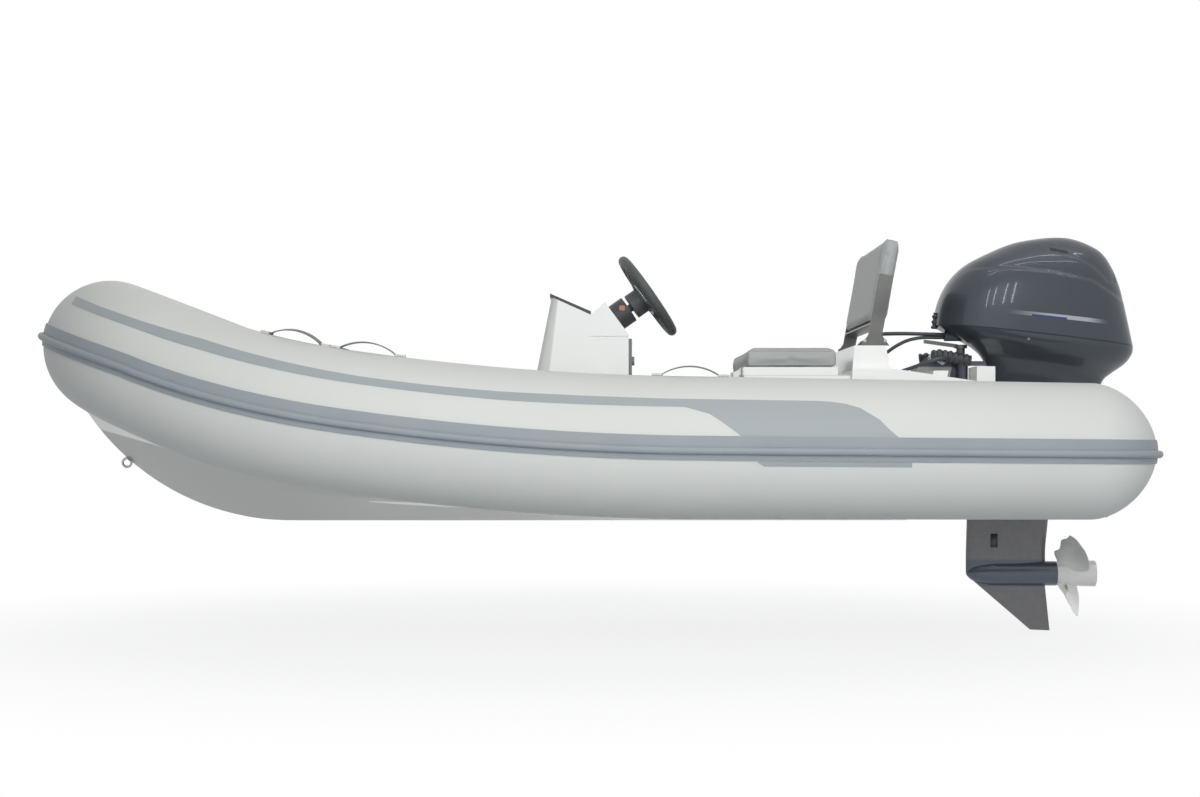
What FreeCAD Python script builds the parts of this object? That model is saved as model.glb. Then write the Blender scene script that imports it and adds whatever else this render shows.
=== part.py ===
import FreeCAD, Part

import math
import os
import re

import Sketcher
from FreeCAD import Placement, Rotation, Vector

# Inflatable rib boat, 3.7 m long, with a steering console and a long-shaft outboard.
# Millimetres, +X to the bow, +Y to port, +Z up. The origin lies on the centreline, at the
# top of the transom's aft face along X, and on the waterline along Z.

doc = FreeCAD.newDocument("rib_boat")


class Sizes:
    """The driving dimensions, kept in the sheet and read back by their aliases."""

    def __init__(self, document):
        self.sheet = document.addObject("Spreadsheet::Sheet", "sizes")
        self.aliases = []
        self.row = 0

    def group(self, heading, values):
        self.row += 1
        self.sheet.set("A%d" % self.row, heading)
        for alias, value in values.items():
            self.row += 1
            self.sheet.set("A%d" % self.row, alias.replace("_", " "))
            self.sheet.set("B%d" % self.row, value if isinstance(value, str) else repr(value))
            self.sheet.setAlias("B%d" % self.row, alias)
            self.aliases.append(alias)
        self.sheet.recompute()

    def expression(self, text):
        """Aliases in a text such as "pad_width / 2" become references to the sheet."""
        def reference(found):
            word = found.group(0)
            return "sizes." + word if word in self.aliases else word
        return re.sub(r"[a-z_]+", reference, str(text))

    def value(self, text):
        return float(self.sheet.evalExpression(self.expression(text)))

    def __getattr__(self, alias):
        return float(self.sheet.get(alias))


size = Sizes(doc)
parts = {}

PLANES = {"side": ("XZ_Plane", "y"), "plan": ("XY_Plane", "z"), "front": ("YZ_Plane", "x")}


def keep(feature, label):
    """A finished sub-part: its label names its node and its file."""
    feature.Label = label
    parts[label] = feature
    return feature


def pad(name, view, outline, thickness, middle="0"):
    """A body padded evenly to both sides of its outline, with its mid-plane at middle."""
    role, direction = PLANES[view]
    body = doc.addObject("PartDesign::Body", name)
    plane = [item for item in body.Origin.OriginFeatures if item.Role == role][0]
    outline_sketch = body.newObject("Sketcher::SketchObject", name + "_outline")
    outline_sketch.AttachmentSupport = (plane, [""])
    outline_sketch.MapMode = "FlatFace"
    draw_polygon(outline_sketch, outline)
    block = body.newObject("PartDesign::Pad", name + "_pad")
    block.Profile = outline_sketch
    block.SideType = "Symmetric"
    block.setExpression("Length", size.expression(thickness))
    body.setExpression("Placement.Base." + direction, size.expression(middle))
    doc.recompute()
    return body


def draw_polygon(sketch, outline):
    """A closed polygon whose corners are pairs of expressions, held by constraints."""
    corners = [(size.value(across), size.value(up)) for across, up in outline]
    count = len(corners)
    for index, corner in enumerate(corners):
        after = corners[(index + 1) % count]
        sketch.addGeometry(Part.LineSegment(Vector(*corner), Vector(*after)))
    for index in range(count):
        sketch.addConstraint(Sketcher.Constraint("Coincident", index, 2, (index + 1) % count, 1))
    for index, (across, up) in enumerate(outline):
        for kind, text, value in (("DistanceX", across, corners[index][0]), ("DistanceY", up, corners[index][1])):
            number = sketch.addConstraint(Sketcher.Constraint(kind, -1, 1, index, 1, value))
            sketch.setExpression("Constraints[%d]" % number, size.expression(text))


def round_edges(body, radius, chosen):
    """A fillet on the edges of the body's last feature that the test picks."""
    base = body.Tip
    names = ["Edge%d" % (index + 1) for index, edge in enumerate(base.Shape.Edges) if chosen(edge)]
    fillet = body.newObject("PartDesign::Fillet", body.Name + "_rounding")
    fillet.Base = (base, names)
    fillet.setExpression("Radius", size.expression(radius))
    doc.recompute()
    return body


def runs_along(axis):
    """A test for straight edges that run along one axis."""
    def test(edge):
        if edge.Curve.TypeId != "Part::GeomLine":
            return False
        return edge.tangentAt(edge.FirstParameter).cross(axis).Length < 1e-3
    return test


def boolean(kind, name, base, tool):
    """A Part::Cut, Part::Common or Part::Fuse of two features."""
    result = doc.addObject("Part::" + kind, name)
    result.Base = base
    result.Tool = tool
    doc.recompute()
    return result


def solid(name, shape):
    """A free-form piece, worked out by the geometry functions below."""
    feature = doc.addObject("Part::Feature", name)
    feature.Shape = shape
    return feature


def mirrored(shape):
    """The starboard twin of a port shape."""
    return shape.mirror(ORIGIN, PORT)


ORIGIN = Vector(0, 0, 0)
AHEAD = Vector(1, 0, 0)
PORT = Vector(0, 1, 0)
UP = Vector(0, 0, 1)

hull_tubes_sizes = {
    "tube_radius": 227.5,
    "stern_radius": 217.0,
    "stern_x": -375.0,
    "stern_z": 122.9,
    "tube_side": 685.0,
    "knee_x": 1450.0,
    "knee_z": 139.0,
    "knee_bend": 560.0,
    "shoulder_x": 2305.0,
    "shoulder_side": 642.0,
    "shoulder_z": 264.0,
    "shoulder_bend": 290.0,
    "bow_x": 2873.0,
    "bow_side": 340.0,
    "bow_z": 486.0,
    "cap_length": 207.0,
    "cap_fullness": 1.8,
    "cap_sweep": 88.5,
    "seat_gap": 0.3,
}
size.group("Hull tubes", hull_tubes_sizes)

fits_sizes = {
    "pin_gap": 0.05,
    "running_gap": 0.5,
}
size.group("Fits", fits_sizes)


class Stretch:
    """One straight or round stretch of the tube's centre line."""

    def __init__(self, start, direction, length, centre=None, axis=None, turn=0.0):
        self.start = start
        self.direction = direction
        self.length = length
        self.centre = centre
        self.axis = axis
        self.turn = turn

    def turned(self, vector, share):
        return Rotation(self.axis, math.degrees(self.turn * share)).multVec(vector)

    def at(self, share):
        """Point, direction and carried outward vector at a share of the stretch."""
        if self.centre is None:
            return self.start + self.direction * (self.length * share), self.direction
        point = self.centre + self.turned(self.start - self.centre, share)
        return point, self.turned(self.direction, share)


def bend(before, corner, after, tangent):
    """The arc that rounds a corner, with its tangent points that far from the corner."""
    arriving = (corner - before).normalize()
    leaving = (after - corner).normalize()
    turn = arriving.getAngle(leaving)
    axis = arriving.cross(leaving).normalize()
    radius = tangent / math.tan(turn / 2)
    start = corner - arriving * tangent
    centre = start + axis.cross(arriving) * radius
    return Stretch(start, arriving, radius * turn, centre, axis, turn)


def rounded_route(points, tangents):
    """The straight and round stretches along a route, whose corners are rounded."""
    stretches = []
    last = points[0]
    for before, corner, after, tangent in zip(points, points[1:], points[2:], tangents):
        arc = bend(before, corner, after, tangent)
        run = arc.start - last
        stretches.append(Stretch(last, Vector(run).normalize(), run.Length))
        stretches.append(arc)
        last = arc.at(1)[0]
    run = points[-1] - last
    if run.Length > size.seat_gap:
        stretches.append(Stretch(last, Vector(run).normalize(), run.Length))
    return stretches


def tube_line():
    """The port tube's centre line, from the stern seam to the stem."""
    stern = Vector(size.stern_x, size.tube_side, size.stern_z)
    knee = Vector(size.knee_x, size.tube_side, size.knee_z)
    shoulder = Vector(size.shoulder_x, size.shoulder_side, size.shoulder_z)
    bow = Vector(size.bow_x, size.bow_side, size.bow_z)
    stem = Vector(size.bow_x, 0, size.bow_z)
    return rounded_route([stern, knee, shoulder, bow, stem], [size.knee_bend, size.shoulder_bend, size.bow_side])


LINE = tube_line()
LINE_LENGTH = sum(stretch.length for stretch in LINE)
TAPER_LENGTH = LINE[0].length


def on_line(distance):
    """Point and direction of the port tube's centre line at a distance from the seam."""
    left = distance
    for stretch in LINE[:-1]:
        if left <= stretch.length:
            return stretch.at(left / stretch.length)
        left -= stretch.length
    return LINE[-1].at(min(left / LINE[-1].length, 1))


def radius_at(distance):
    share = min(distance / TAPER_LENGTH, 1)
    return size.stern_radius + (size.tube_radius - size.stern_radius) * share


def tube_skin(stretch, start_radius, end_radius):
    """The skin round one stretch: a cone, a cylinder or a part of a torus."""
    if stretch.centre is not None:
        ring = Part.makeCircle(start_radius, stretch.start, stretch.direction)
        return ring.revolve(stretch.centre, stretch.axis, math.degrees(stretch.turn))
    if start_radius == end_radius:
        return Part.makeCylinder(start_radius, stretch.length, stretch.start, stretch.direction).Faces[0]
    return Part.makeCone(start_radius, end_radius, stretch.length, stretch.start, stretch.direction).Faces[0]


def tube_skins(extra, first, last):
    """The skins of the port tube's stretches, grown by extra, from first up to last."""
    start_radii = [size.stern_radius] + [size.tube_radius] * (len(LINE) - 1)
    return [tube_skin(LINE[index], start_radii[index] + extra, size.tube_radius + extra)
            for index in range(first, last)]


def disc(distance, extra):
    point, direction = on_line(distance)
    return Part.Face(Part.Wire(Part.makeCircle(radius_at(distance) + extra, point, direction)))


def closed(faces):
    """The solid inside faces that meet edge to edge."""
    skin = Part.makeCompound(faces)
    skin.sewShape()
    return Part.makeSolid(skin.Shells[0])


def joined(shapes):
    result = shapes[0]
    for shape in shapes[1:]:
        result = result.fuse(shape)
    return result.removeSplitter()


SIDE_LENGTH = LINE_LENGTH - LINE[-1].length


def side_tube(extra):
    return closed(tube_skins(extra, 0, len(LINE) - 1) + [disc(0, extra), disc(SIDE_LENGTH, extra)])


def bow_tube(extra):
    skins = tube_skins(extra, len(LINE) - 1, len(LINE)) + [disc(SIDE_LENGTH, extra)]
    return closed(skins + [mirrored(skin) for skin in skins])


def whole_tube(extra):
    skins = tube_skins(extra, 0, len(LINE)) + [disc(0, extra)]
    return closed(skins + [mirrored(skin) for skin in skins])


# The side tubes run from the stern seam to where the bow tube starts to turn across.
keep(solid("tube_port", side_tube(0)), "tube_port")
keep(solid("tube_starboard", mirrored(side_tube(0))), "tube_starboard")
keep(solid("tube_bow", bow_tube(0)), "tube_bow")
tube_room = solid("tube_room", whole_tube(size.seat_gap))


def cap_curve(extra):
    """Half outline of the stern cap: level with the tube at the seam, round to a small flat tip."""
    points = []
    count = 12
    for index in range(count + 1):
        turn = math.radians(size.cap_sweep) * index / count
        along = math.sin(turn) ** (2 / size.cap_fullness)
        aside = math.cos(turn) ** (2 / size.cap_fullness)
        points.append(Vector((size.cap_length + extra) * along, (size.stern_radius + extra) * aside, 0))
    curve = Part.BSplineCurve()
    curve.interpolate(points, InitialTangent=AHEAD, FinalTangent=PORT * -1)
    return curve


def stern_cap(extra):
    """The rounded end of the port tube, turned about the tube's own line."""
    curve = cap_curve(extra)
    edge = curve.StartPoint
    rim = curve.EndPoint
    tip = Vector(rim.x, 0, 0)
    outline = Part.Wire([
        Part.LineSegment(ORIGIN, edge).toShape(),
        curve.toShape(),
        Part.LineSegment(rim, tip).toShape(),
        Part.LineSegment(tip, ORIGIN).toShape(),
    ])
    cap = Part.Face(outline).revolve(ORIGIN, AHEAD, 360)
    point, direction = on_line(0)
    cap.Placement = Placement(point, Rotation(AHEAD, direction * -1))
    return cap


keep(solid("stern_cap_port", stern_cap(0)), "stern_cap_port")
keep(solid("stern_cap_starboard", mirrored(stern_cap(0))), "stern_cap_starboard")

rub_rail_sizes = {
    "rail_height": 75.0,
    "rail_thickness": 4.0,
    "rail_gap": 0.7,
    "bead_radius": 12.0,
    "bead_stand": 4.0,
    "bead_drop": 2.0,
    "rail_tilt": 11.0,
    "rail_step": 110.0,
}
size.group("Rub rail", rub_rail_sizes)


def rail_frame(distance):
    """Centre, outward and upward vectors of the rail; it leans up with the bow's sheer."""
    point, direction = on_line(distance)
    lean = math.radians(size.rail_tilt)
    tall = Vector(-math.sin(lean), 0, math.cos(lean))
    outward = tall.cross(direction).normalize()
    share = min(distance / TAPER_LENGTH, 1)
    outward = (PORT * (1 - share) + outward * share).normalize()
    upward = direction.cross(outward).normalize()
    return point, outward, upward


def rail_section(distance):
    """The rail's outline on the tube: a flat band with a half-round bead on it."""
    point, outward, upward = rail_frame(distance)
    inner = radius_at(distance) + size.rail_gap
    outer = inner + size.rail_thickness
    half_turn = math.asin(size.rail_height / 2 / outer)
    bead_centre = outer + size.bead_stand
    beside = (bead_centre**2 + outer**2 - size.bead_radius**2) / (2 * bead_centre)
    bead_turn = math.acos(beside / outer)
    drop = math.radians(size.bead_drop)

    def place(radius, turn):
        return point + outward * (radius * math.cos(turn)) + upward * (radius * math.sin(turn))

    def arc(radius, first, last):
        return Part.Arc(place(radius, first), place(radius, (first + last) / 2), place(radius, last)).toShape()

    crown = place(bead_centre + size.bead_radius, -drop)
    return Part.Wire([
        arc(inner, -half_turn, half_turn),
        Part.LineSegment(place(inner, half_turn), place(outer, half_turn)).toShape(),
        arc(outer, half_turn, bead_turn - drop),
        Part.Arc(place(outer, bead_turn - drop), crown, place(outer, -bead_turn - drop)).toShape(),
        arc(outer, -bead_turn - drop, -half_turn),
        Part.LineSegment(place(outer, -half_turn), place(inner, -half_turn)).toShape(),
    ])


def rail_loft(first, last):
    """The rail between two distances from the stern seam, lofted through its sections."""
    count = max(2, round((last - first) / size.rail_step))
    distances = [first + (last - first) * index / count for index in range(count + 1)]
    return Part.makeLoft([rail_section(distance) for distance in distances], True)


rail_side = rail_loft(0, SIDE_LENGTH)
rail_bow_half = rail_loft(SIDE_LENGTH, LINE_LENGTH)
keep(solid("rub_rail_port", rail_side), "rub_rail_port")
keep(solid("rub_rail_starboard", mirrored(rail_side)), "rub_rail_starboard")
keep(solid("rub_rail_bow", rail_bow_half.fuse(mirrored(rail_bow_half))), "rub_rail_bow")


def rail_end():
    """The rail round the stern cap: a slice of a shell grown from the cap, and its bead."""
    shell = stern_cap(size.seat_gap + size.rail_thickness).cut(stern_cap(size.seat_gap))
    point, direction = on_line(0)
    reach = size.cap_length * 2
    slice_box = Part.makeBox(reach, reach, size.rail_height, Vector(0, -size.bead_radius, -size.rail_height / 2))
    turned_aft = Placement(point, Rotation(direction * -1, PORT, UP * -1, "XYZ"))
    slice_box.Placement = turned_aft
    band = shell.common(slice_box)
    curve = cap_curve(size.seat_gap + size.rail_thickness + size.bead_stand)
    start = curve.StartPoint - AHEAD * size.bead_radius
    path = Part.Wire([Part.LineSegment(start, curve.StartPoint).toShape(), curve.toShape()])
    ring = Part.Wire(Part.makeCircle(size.bead_radius, start, AHEAD))
    bead = path.makePipeShell([ring], True, False)
    lowered = Vector(0, 0, size.stern_radius * math.sin(math.radians(size.bead_drop)))
    bead.Placement = turned_aft.multiply(Placement(lowered, Rotation()))
    ahead_of_seam = Part.makeBox(reach + size.seat_gap, reach * 2, reach * 2, Vector(-reach, -reach, -reach))
    ahead_of_seam.Placement = turned_aft
    return band.fuse(bead.cut(stern_cap(size.seat_gap))).cut(ahead_of_seam)


keep(solid("rail_end_port", rail_end()), "rail_end_port")
keep(solid("rail_end_starboard", mirrored(rail_end())), "rail_end_starboard")

hull_and_deck_sizes = {
    "keel_z": -120.0,
    "forefoot_x": 2260.0,
    "stem_radius": 858.0,
    "stem_sweep": 62.0,
    "hull_wall": 35.0,
    "sole_z": 45.0,
    "deck_thickness": 20.0,
    "deck_side": 520.0,
    "locker_front": 2560.0,
    "transom_height": 395.0,
    "transom_thickness": 50.0,
    "transom_rake": 12.0,
    "transom_side": 600.0,
    "well_side": 250.0,
    "wing_z": 300.0,
    "chine_share": 0.3,
    "chine_drop": 57.0,
    "chine_flat": 40.0,
    "chine_full": 800.0,
    "chine_end": 2500.0,
    "stem_width": 6.0,
}
size.group("Hull and deck", hull_and_deck_sizes)

RAKE = math.tan(math.radians(size.transom_rake))


def transom_x(height, offset=0.0):
    """Where a line parallel to the transom's aft face passes a height."""
    return (size.transom_height - height) * RAKE + offset


def keel_point(share):
    """A point on the keel, then on the round stem; share runs from the forefoot to the bow."""
    turn = math.radians(size.stem_sweep * share)
    return Vector(size.forefoot_x + size.stem_radius * math.sin(turn), 0,
                  size.keel_z + size.stem_radius * (1 - math.cos(turn)))


STATION_COUNT = 28


def hull_stations():
    """Pairs of a keel point and a tube-centre point, evenly spaced along the tube's line."""
    start = -size.stern_x
    forefoot = size.forefoot_x - size.stern_x
    stations = []
    for index in range(STATION_COUNT + 1):
        distance = start + (LINE_LENGTH - start) * index / STATION_COUNT
        side = on_line(distance)[0]
        if index == STATION_COUNT:
            side = side + PORT * size.stem_width
        if distance < forefoot:
            keel = Vector(side.x, 0, size.keel_z)
        else:
            keel = keel_point((distance - forefoot) / (LINE_LENGTH - forefoot))
        stations.append((keel, side))
    return stations


STATIONS = hull_stations()


def chine_points(keel, side):
    """The chine's inner and outer edges; it sinks below the V aft and fades out at the bow."""
    fade = min(1, max(0, (size.chine_end - side.x) / (size.chine_end - size.chine_full)))
    inner = keel + (side - keel) * size.chine_share - UP * (size.chine_drop * fade)
    return inner, inner + PORT * (size.stem_width / 2 + size.chine_flat * fade) * (side.y / size.tube_side)


def skinned(lines):
    """The solid between lines that run from the stern to the bow, with flat ends."""
    edges = []
    parameters = [index / STATION_COUNT for index in range(STATION_COUNT + 1)]
    for line in lines:
        curve = Part.BSplineCurve()
        curve.interpolate(Points=line, Parameters=parameters)
        edges.append(curve.toShape())
    faces = [Part.makeRuledSurface(edge, edges[(index + 1) % len(edges)]) for index, edge in enumerate(edges)]
    for index in (0, -1):
        corners = [line[index] for line in lines]
        faces.append(Part.Face(Part.makePolygon(corners + corners[:1])))
    return closed(faces)


def hull_outer():
    """The deep-V hull up to the tubes' centre height, with a chine each side."""
    keel_line = [keel for keel, side in STATIONS]
    inner_line = [chine_points(keel, side)[0] for keel, side in STATIONS]
    outer_line = [chine_points(keel, side)[1] for keel, side in STATIONS]
    side_line = [side for keel, side in STATIONS]
    port = [inner_line, outer_line, side_line]
    starboard = [[Vector(point.x, -point.y, point.z) for point in line] for line in reversed(port)]
    return skinned([keel_line] + port + starboard)


def hull_body(lift):
    """The plain V that lies that far above the keel, for what stands inside the hull."""
    rise = UP * lift
    keel_line = [keel + rise for keel, side in STATIONS]
    side_line = [side + rise for keel, side in STATIONS]
    return skinned([keel_line, side_line, [Vector(point.x, -point.y, point.z) for point in side_line]])


def aft_of(offset):
    """Everything behind a plane that lies that far ahead of the transom's aft face."""
    low = size.keel_z * 2
    high = size.transom_height * 2
    reach = size.transom_side * 2
    corners = [Vector(offset + (size.transom_height - height) * RAKE, -reach, height) for height in (low, high)]
    corners += [Vector(-reach, -reach, high), Vector(-reach, -reach, low)]
    face = Part.Face(Part.makePolygon(corners + corners[:1]))
    return face.extrude(PORT * (reach * 2))


def between(low_x, high_x, low_z, high_z):
    """A block across the whole beam."""
    reach = size.transom_side * 2
    return Part.makeBox(high_x - low_x, reach * 2, high_z - low_z, Vector(low_x, -reach, low_z))


hull_shape = hull_outer()
cockpit = hull_body(size.hull_wall).common(
    between(-size.transom_side, size.locker_front, size.sole_z, size.bow_z * 2))
hull_shape = hull_shape.cut(cockpit).cut(aft_of(size.transom_thickness))
hull_blank = solid("hull_blank", hull_shape)
keep(boolean("Cut", "hull", hull_blank, tube_room), "hull")

deck_blank = pad("deck_blank", "plan", [
    ("transom_thickness", "-deck_side"),
    ("locker_front", "-deck_side"),
    ("locker_front", "deck_side"),
    ("transom_thickness", "deck_side"),
], "deck_thickness", "sole_z + deck_thickness / 2")
deck_room = solid("deck_room", tube_room.Shape.fuse(aft_of(size.transom_thickness)))
deck_inside = boolean("Common", "deck_inside", deck_blank, solid("cockpit_room", cockpit))
keep(boolean("Cut", "deck", deck_inside, deck_room), "deck")

transom_front = pad("transom_front", "front", [
    ("0", "keel_z"),
    ("chine_share * tube_side", "keel_z + chine_share * (stern_z - keel_z) - chine_drop"),
    ("chine_share * tube_side + chine_flat", "keel_z + chine_share * (stern_z - keel_z) - chine_drop"),
    ("deck_side", "keel_z + deck_side * (stern_z - keel_z) / tube_side"),
    ("deck_side", "wing_z"),
    ("well_side", "wing_z"),
    ("well_side", "transom_height"),
    ("-well_side", "transom_height"),
    ("-well_side", "wing_z"),
    ("-deck_side", "wing_z"),
    ("-deck_side", "keel_z + deck_side * (stern_z - keel_z) / tube_side"),
    ("-chine_share * tube_side - chine_flat", "keel_z + chine_share * (stern_z - keel_z) - chine_drop"),
    ("-chine_share * tube_side", "keel_z + chine_share * (stern_z - keel_z) - chine_drop"),
], "transom_side")
transom_plate = solid("transom_plate", aft_of(size.transom_thickness).cut(aft_of(0)))
transom_raked = boolean("Common", "transom_raked", transom_front, transom_plate)
keep(boolean("Cut", "transom", transom_raked, tube_room), "transom")

seat_and_aft_moulding_sizes = {
    "deck_top": 65.0,
    "side_passage": 97.5,
    "seat_half": "=tube_side - tube_radius - side_passage",
    "seat_back": 345.0,
    "seat_front": 700.0,
    "seat_top": 375.0,
    "seat_wall": 15.0,
    "lid_back": 388.0,
    "lid_thickness": 28.0,
    "lid_gap": 0.5,
    "cushion_thickness": 63.0,
    "cushion_inset": 8.0,
    "cushion_round": 18.0,
    "box_foot_back": 210.0,
    "box_foot_front": 339.0,
    "box_head_back": 229.0,
    "box_head_front": 332.0,
    "box_foot_z": 397.0,
    "box_head_z": 475.0,
    "module_gap": 52.5,
    "module_side": "=tube_side - tube_radius - module_gap",
    "wing_back": -128.0,
    "wing_step": -67.0,
    "wing_low_z": 355.0,
    "wing_tip_z": 404.0,
    "wing_under": 305.0,
    "well_front": 125.0,
}
size.group("Seat and aft moulding", seat_and_aft_moulding_sizes)

# The seat locker is an open box with the hinged lid over it.
seat_box = pad("seat_box", "side", [
    ("seat_back", "deck_top"),
    ("seat_front", "deck_top"),
    ("seat_front", "seat_top - lid_gap"),
    ("seat_back", "seat_top - lid_gap"),
], "seat_half * 2")
seat_hollow = pad("seat_hollow", "side", [
    ("seat_back + seat_wall", "deck_top + seat_wall"),
    ("seat_front - seat_wall", "deck_top + seat_wall"),
    ("seat_front - seat_wall", "seat_top + seat_wall"),
    ("seat_back + seat_wall", "seat_top + seat_wall"),
], "(seat_half - seat_wall) * 2")
keep(boolean("Cut", "seat_locker", seat_box, seat_hollow), "seat_locker")

keep(pad("seat_lid", "side", [
    ("lid_back", "seat_top"),
    ("seat_front", "seat_top"),
    ("seat_front", "seat_top + lid_thickness"),
    ("lid_back", "seat_top + lid_thickness"),
], "seat_half * 2"), "seat_lid")

cushion = pad("seat_cushion", "side", [
    ("lid_back", "seat_top + lid_thickness"),
    ("seat_front - cushion_inset", "seat_top + lid_thickness"),
    ("seat_front - cushion_inset", "seat_top + lid_thickness + cushion_thickness"),
    ("lid_back", "seat_top + lid_thickness + cushion_thickness"),
], "(seat_half - cushion_inset) * 2")


def above(height):
    def test(edge):
        return edge.BoundBox.ZMin > height
    return test


round_edges(cushion, "cushion_round", above(size.seat_top + size.lid_thickness + size.cushion_round))
keep(cushion, "seat_cushion")

hinges_sizes = {
    "hinge_radius": 5.0,
    "hinge_pin": 2.5,
    "hinge_leaf": 3.0,
    "hinge_width": 56.0,
    "hinge_knuckle": 20.0,
    "hinge_height": 30.0,
    "seat_hinge_side": 230.0,
}
size.group("Hinges", hinges_sizes)


def hinge_block(low_y, high_y, facing, rising, height):
    """The leaf's plate or web, beside the pin's line: X out of the face, Z away from the seam."""
    start = size.hinge_radius if height > size.hinge_radius else 0
    depth = size.hinge_leaf if height > size.hinge_radius else size.hinge_radius
    corners = [Vector(-facing * size.hinge_radius, 0, rising * (start + size.seat_gap)),
               Vector(facing * (depth - size.hinge_radius), 0, rising * (start + size.seat_gap)),
               Vector(facing * (depth - size.hinge_radius), 0, rising * height),
               Vector(-facing * size.hinge_radius, 0, rising * height)]
    plate = Part.Face(Part.makePolygon(corners + corners[:1])).extrude(PORT * (high_y - low_y))
    plate.translate(PORT * low_y)
    return plate


def hinge_half(knuckles, facing, rising):
    """Knuckles round the pin's line, each with a web to a plate screwed on the face."""
    half = size.hinge_width / 2
    shapes = [hinge_block(-half, half, facing, rising, size.hinge_height)]
    for low_y, high_y in knuckles:
        length = high_y - low_y
        shapes.append(Part.makeCylinder(size.hinge_radius, length, PORT * low_y, PORT))
        shapes.append(hinge_block(low_y, high_y, facing, rising, size.hinge_radius + size.seat_gap * 2))
    return joined(shapes)


def hinge_pair(line, side, facing):
    """The fixed and the moving halves of two hinges, for a lid whose seam lies on the line."""
    middle = size.hinge_knuckle / 2
    half = size.hinge_width / 2
    inner = middle + size.running_gap
    outer_bore = Part.makeCylinder(size.hinge_pin + size.pin_gap, size.hinge_width * 2, PORT * -size.hinge_width, PORT)
    fixed = hinge_half([(-half, -inner), (inner, half)], facing, -1)
    pin = Part.makeCylinder(size.hinge_pin, size.hinge_width, PORT * -half, PORT)
    fixed = joined([fixed, pin])
    moving = hinge_half([(-middle, middle)], facing, 1).cut(outer_bore)
    halves = []
    for shape in (fixed, moving):
        twins = []
        for place in (side, -side):
            twin = shape.copy()
            twin.translate(line + PORT * place)
            twins.append(twin)
        halves.append(Part.makeCompound(twins))
    return halves


hinge_line = Vector(size.seat_front + size.hinge_radius + size.seat_gap, 0, size.seat_top)
fixed_hinges, moving_hinges = hinge_pair(hinge_line, size.seat_hinge_side, 1)
keep(solid("seat_hinges", fixed_hinges), "seat_hinges")
keep(solid("seat_lid_hinges", moving_hinges), "seat_lid_hinges")

# The aft moulding closes the space between the seat and the transom; its wings reach over
# the transom's shoulders, beside the motor well.
module = pad("aft_module", "side", [
    ("transom_thickness + (transom_height - deck_top) * tan(transom_rake) + seat_gap", "deck_top"),
    ("seat_back - seat_gap", "deck_top"),
    ("seat_back - seat_gap", "box_foot_z - seat_gap"),
    ("box_foot_back", "box_foot_z - seat_gap"),
    ("wing_step", "wing_low_z"),
    ("wing_step - seat_gap", "wing_tip_z"),
    ("wing_back", "wing_tip_z - seat_gap"),
    ("wing_back", "wing_under"),
    ("transom_thickness + (transom_height - wing_under) * tan(transom_rake)", "wing_under"),
], "module_side * 2")
motor_well = pad("motor_well", "plan", [
    ("wing_back * 2", "-well_side"),
    ("well_front", "-well_side"),
    ("well_front", "well_side"),
    ("wing_back * 2", "well_side"),
], "bow_z", "wing_under + bow_z / 2")
module_open = boolean("Cut", "module_open", module, motor_well)
module_behind = boolean("Cut", "module_behind", module_open, parts["transom"])
keep(boolean("Cut", "aft_moulding", module_behind, tube_room), "aft_moulding")

keep(pad("seat_back_box", "side", [
    ("box_foot_back", "box_foot_z"),
    ("box_foot_front", "box_foot_z"),
    ("box_head_front", "box_head_z"),
    ("box_head_back", "box_head_z"),
], "seat_half * 2"), "seat_back_box")

backrest_sizes = {
    "pivot_x": 262.7,
    "pivot_z": 503.6,
    "pivot_radius": 7.0,
    "pad_inset": 20.0,
    "pad_half": "=seat_half - pad_inset",
    "pad_foot_x": 278.0,
    "pad_foot_z": 557.5,
    "pad_head_x": 226.0,
    "pad_head_z": 838.0,
    "pad_thickness": 50.0,
    "pad_round": 14.0,
    "arm_thickness": 5.0,
    "arm_gap": 0.3,
    "arm_width": 46.0,
    "arm_reach": 200.0,
    "plate_thickness": 6.0,
    "plate_foot_half": 48.0,
    "plate_head_half": 16.0,
    "plate_rise": 16.0,
}
size.group("Backrest", backrest_sizes)

backrest_pad = pad("backrest_pad", "side", [
    ("pad_foot_x", "pad_foot_z"),
    ("pad_head_x", "pad_head_z"),
    ("pad_head_x - pad_thickness", "pad_head_z - pad_thickness * 0.18"),
    ("pad_foot_x - pad_thickness", "pad_foot_z - pad_thickness * 0.18"),
], "pad_half * 2")
round_edges(backrest_pad, "pad_round", runs_along(PORT))
keep(backrest_pad, "backrest_pad")


def backrest_arms():
    """A bent plate at each end of the pad, from its lower half down to the pivot."""
    foot = Vector(size.pad_foot_x, 0, size.pad_foot_z)
    rise = (Vector(size.pad_head_x, 0, size.pad_head_z) - foot).normalize()
    back = Vector(-rise.z, 0, rise.x)
    inset = (size.pad_thickness - size.arm_width) / 2
    low = foot + back * inset
    high = low + rise * size.arm_reach
    pivot = Vector(size.pivot_x, 0, size.pivot_z)
    round_end = size.arm_width / 2
    corners = [pivot + AHEAD * round_end, low, high, high + back * size.arm_width, low + back * size.arm_width,
               pivot - AHEAD * round_end]
    outline = Part.Face(Part.makePolygon(corners + corners[:1]))
    inner = size.pad_half + size.arm_gap
    plate = outline.extrude(PORT * size.arm_thickness)
    plate = plate.fuse(Part.makeCylinder(round_end, size.arm_thickness, pivot, PORT))
    bore = Part.makeCylinder(size.pivot_radius + size.pin_gap, size.arm_thickness * 2, pivot - PORT, PORT)
    plate = plate.cut(bore)
    plate.translate(PORT * inner)
    strip = Part.makeBox(size.arm_width, inner * 2 + 2 * size.arm_thickness, size.arm_thickness)
    strip.translate(Vector(0, -inner - size.arm_thickness, 0))
    strip.Placement = Placement(low - rise * (size.arm_thickness + size.arm_gap),
                                Rotation(AHEAD, back)).multiply(strip.Placement)
    return joined([plate, mirrored(plate), strip])


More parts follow.
